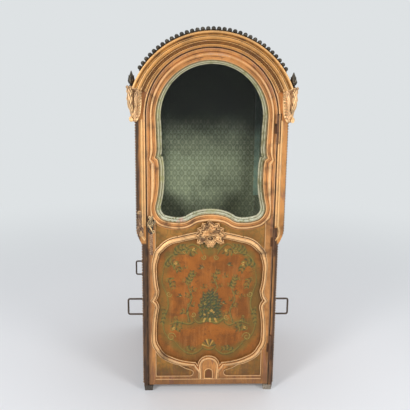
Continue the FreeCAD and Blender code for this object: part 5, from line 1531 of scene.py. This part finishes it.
def placed(name, data):
    """A lamp, camera or floor in the scene."""
    thing = bpy.data.objects.new(name, data)
    bpy.context.scene.collection.objects.link(thing)
    return thing


def studio():
    """A pale floor that fades into the backdrop's colour, three soft lamps, and the camera."""
    scene = bpy.context.scene
    made = bpy.data.materials.new("pale_floor")
    made.use_nodes = True
    tree = made.node_tree
    shaded(made, Base_Color=tone(236, 237, 240), Roughness=0.7)
    place = put("ShaderNodeTexCoord", tree=tree)["Object"]
    far = put("ShaderNodeVectorMath", {0: place}, operation="LENGTH")["Value"]
    glow = put("ShaderNodeEmission", {"Color": BACKDROP, "Strength": 1.0}, tree)[0]
    surfaced(tree, "Material Output", ramp(far, 0.4, 4.0, 0.12, 1.0), outlets(tree.nodes["Principled BSDF"])[0], glow)
    mesh = bpy.data.meshes.new("floor")
    mesh.from_pydata([(-30, -30, 0), (30, -30, 0), (30, 30, 0), (-30, 30, 0)], [], [(0, 1, 2, 3)])
    mesh.materials.append(made)
    placed("floor", mesh)

    scene.world = bpy.data.worlds.new("studio")
    scene.world.use_nodes = True
    tree = scene.world.node_tree
    light = tree.nodes["Background"]
    light.inputs["Color"].default_value = tone(244, 247, 252)
    light.inputs["Strength"].default_value = 0.36
    rays = put("ShaderNodeLightPath", tree=tree)
    direct = rays["Is Camera Ray"].most(rays["Is Transmission Ray"]).most(rays["Is Glossy Ray"])
    surfaced(tree, "World Output", direct, outlets(light)[0],
             put("ShaderNodeBackground", {"Color": BACKDROP, "Strength": 1.0}, tree)[0])

    for name, spot, aim, size, power in LAMPS:
        data = bpy.data.lights.new(name, "AREA")
        data.shape, data.size, data.energy = "DISK", size, power
        lamp = placed(name, data)
        way = np.array(aim) - np.array(spot)
        turn = math.atan2(way[1], way[0]) - math.pi / 2
        tilt = math.atan2(way[2], math.hypot(way[0], way[1]))
        lamp.location, lamp.rotation_euler = spot, (math.pi / 2 + tilt, 0, turn)

    data = bpy.data.cameras.new("camera")
    data.sensor_width, data.lens, data.clip_end = SENSOR, FOCAL, 100
    scene.camera = placed("camera", data)
    ahead = np.array([math.sin(YAW) * math.cos(PITCH), math.cos(YAW) * math.cos(PITCH), -math.sin(PITCH)])
    right = np.array([math.cos(YAW), -math.sin(YAW), 0])
    down = np.cross(ahead, right)
    right, down = math.cos(ROLL) * right + math.sin(ROLL) * down, math.cos(ROLL) * down - math.sin(ROLL) * right
    pose = np.eye(4)
    pose[:3] = np.stack([right, -down, -ahead, EYE], 1)
    scene.camera.matrix_world = Matrix(pose.tolist())
    scene.view_settings.view_transform = "Standard"


studio()
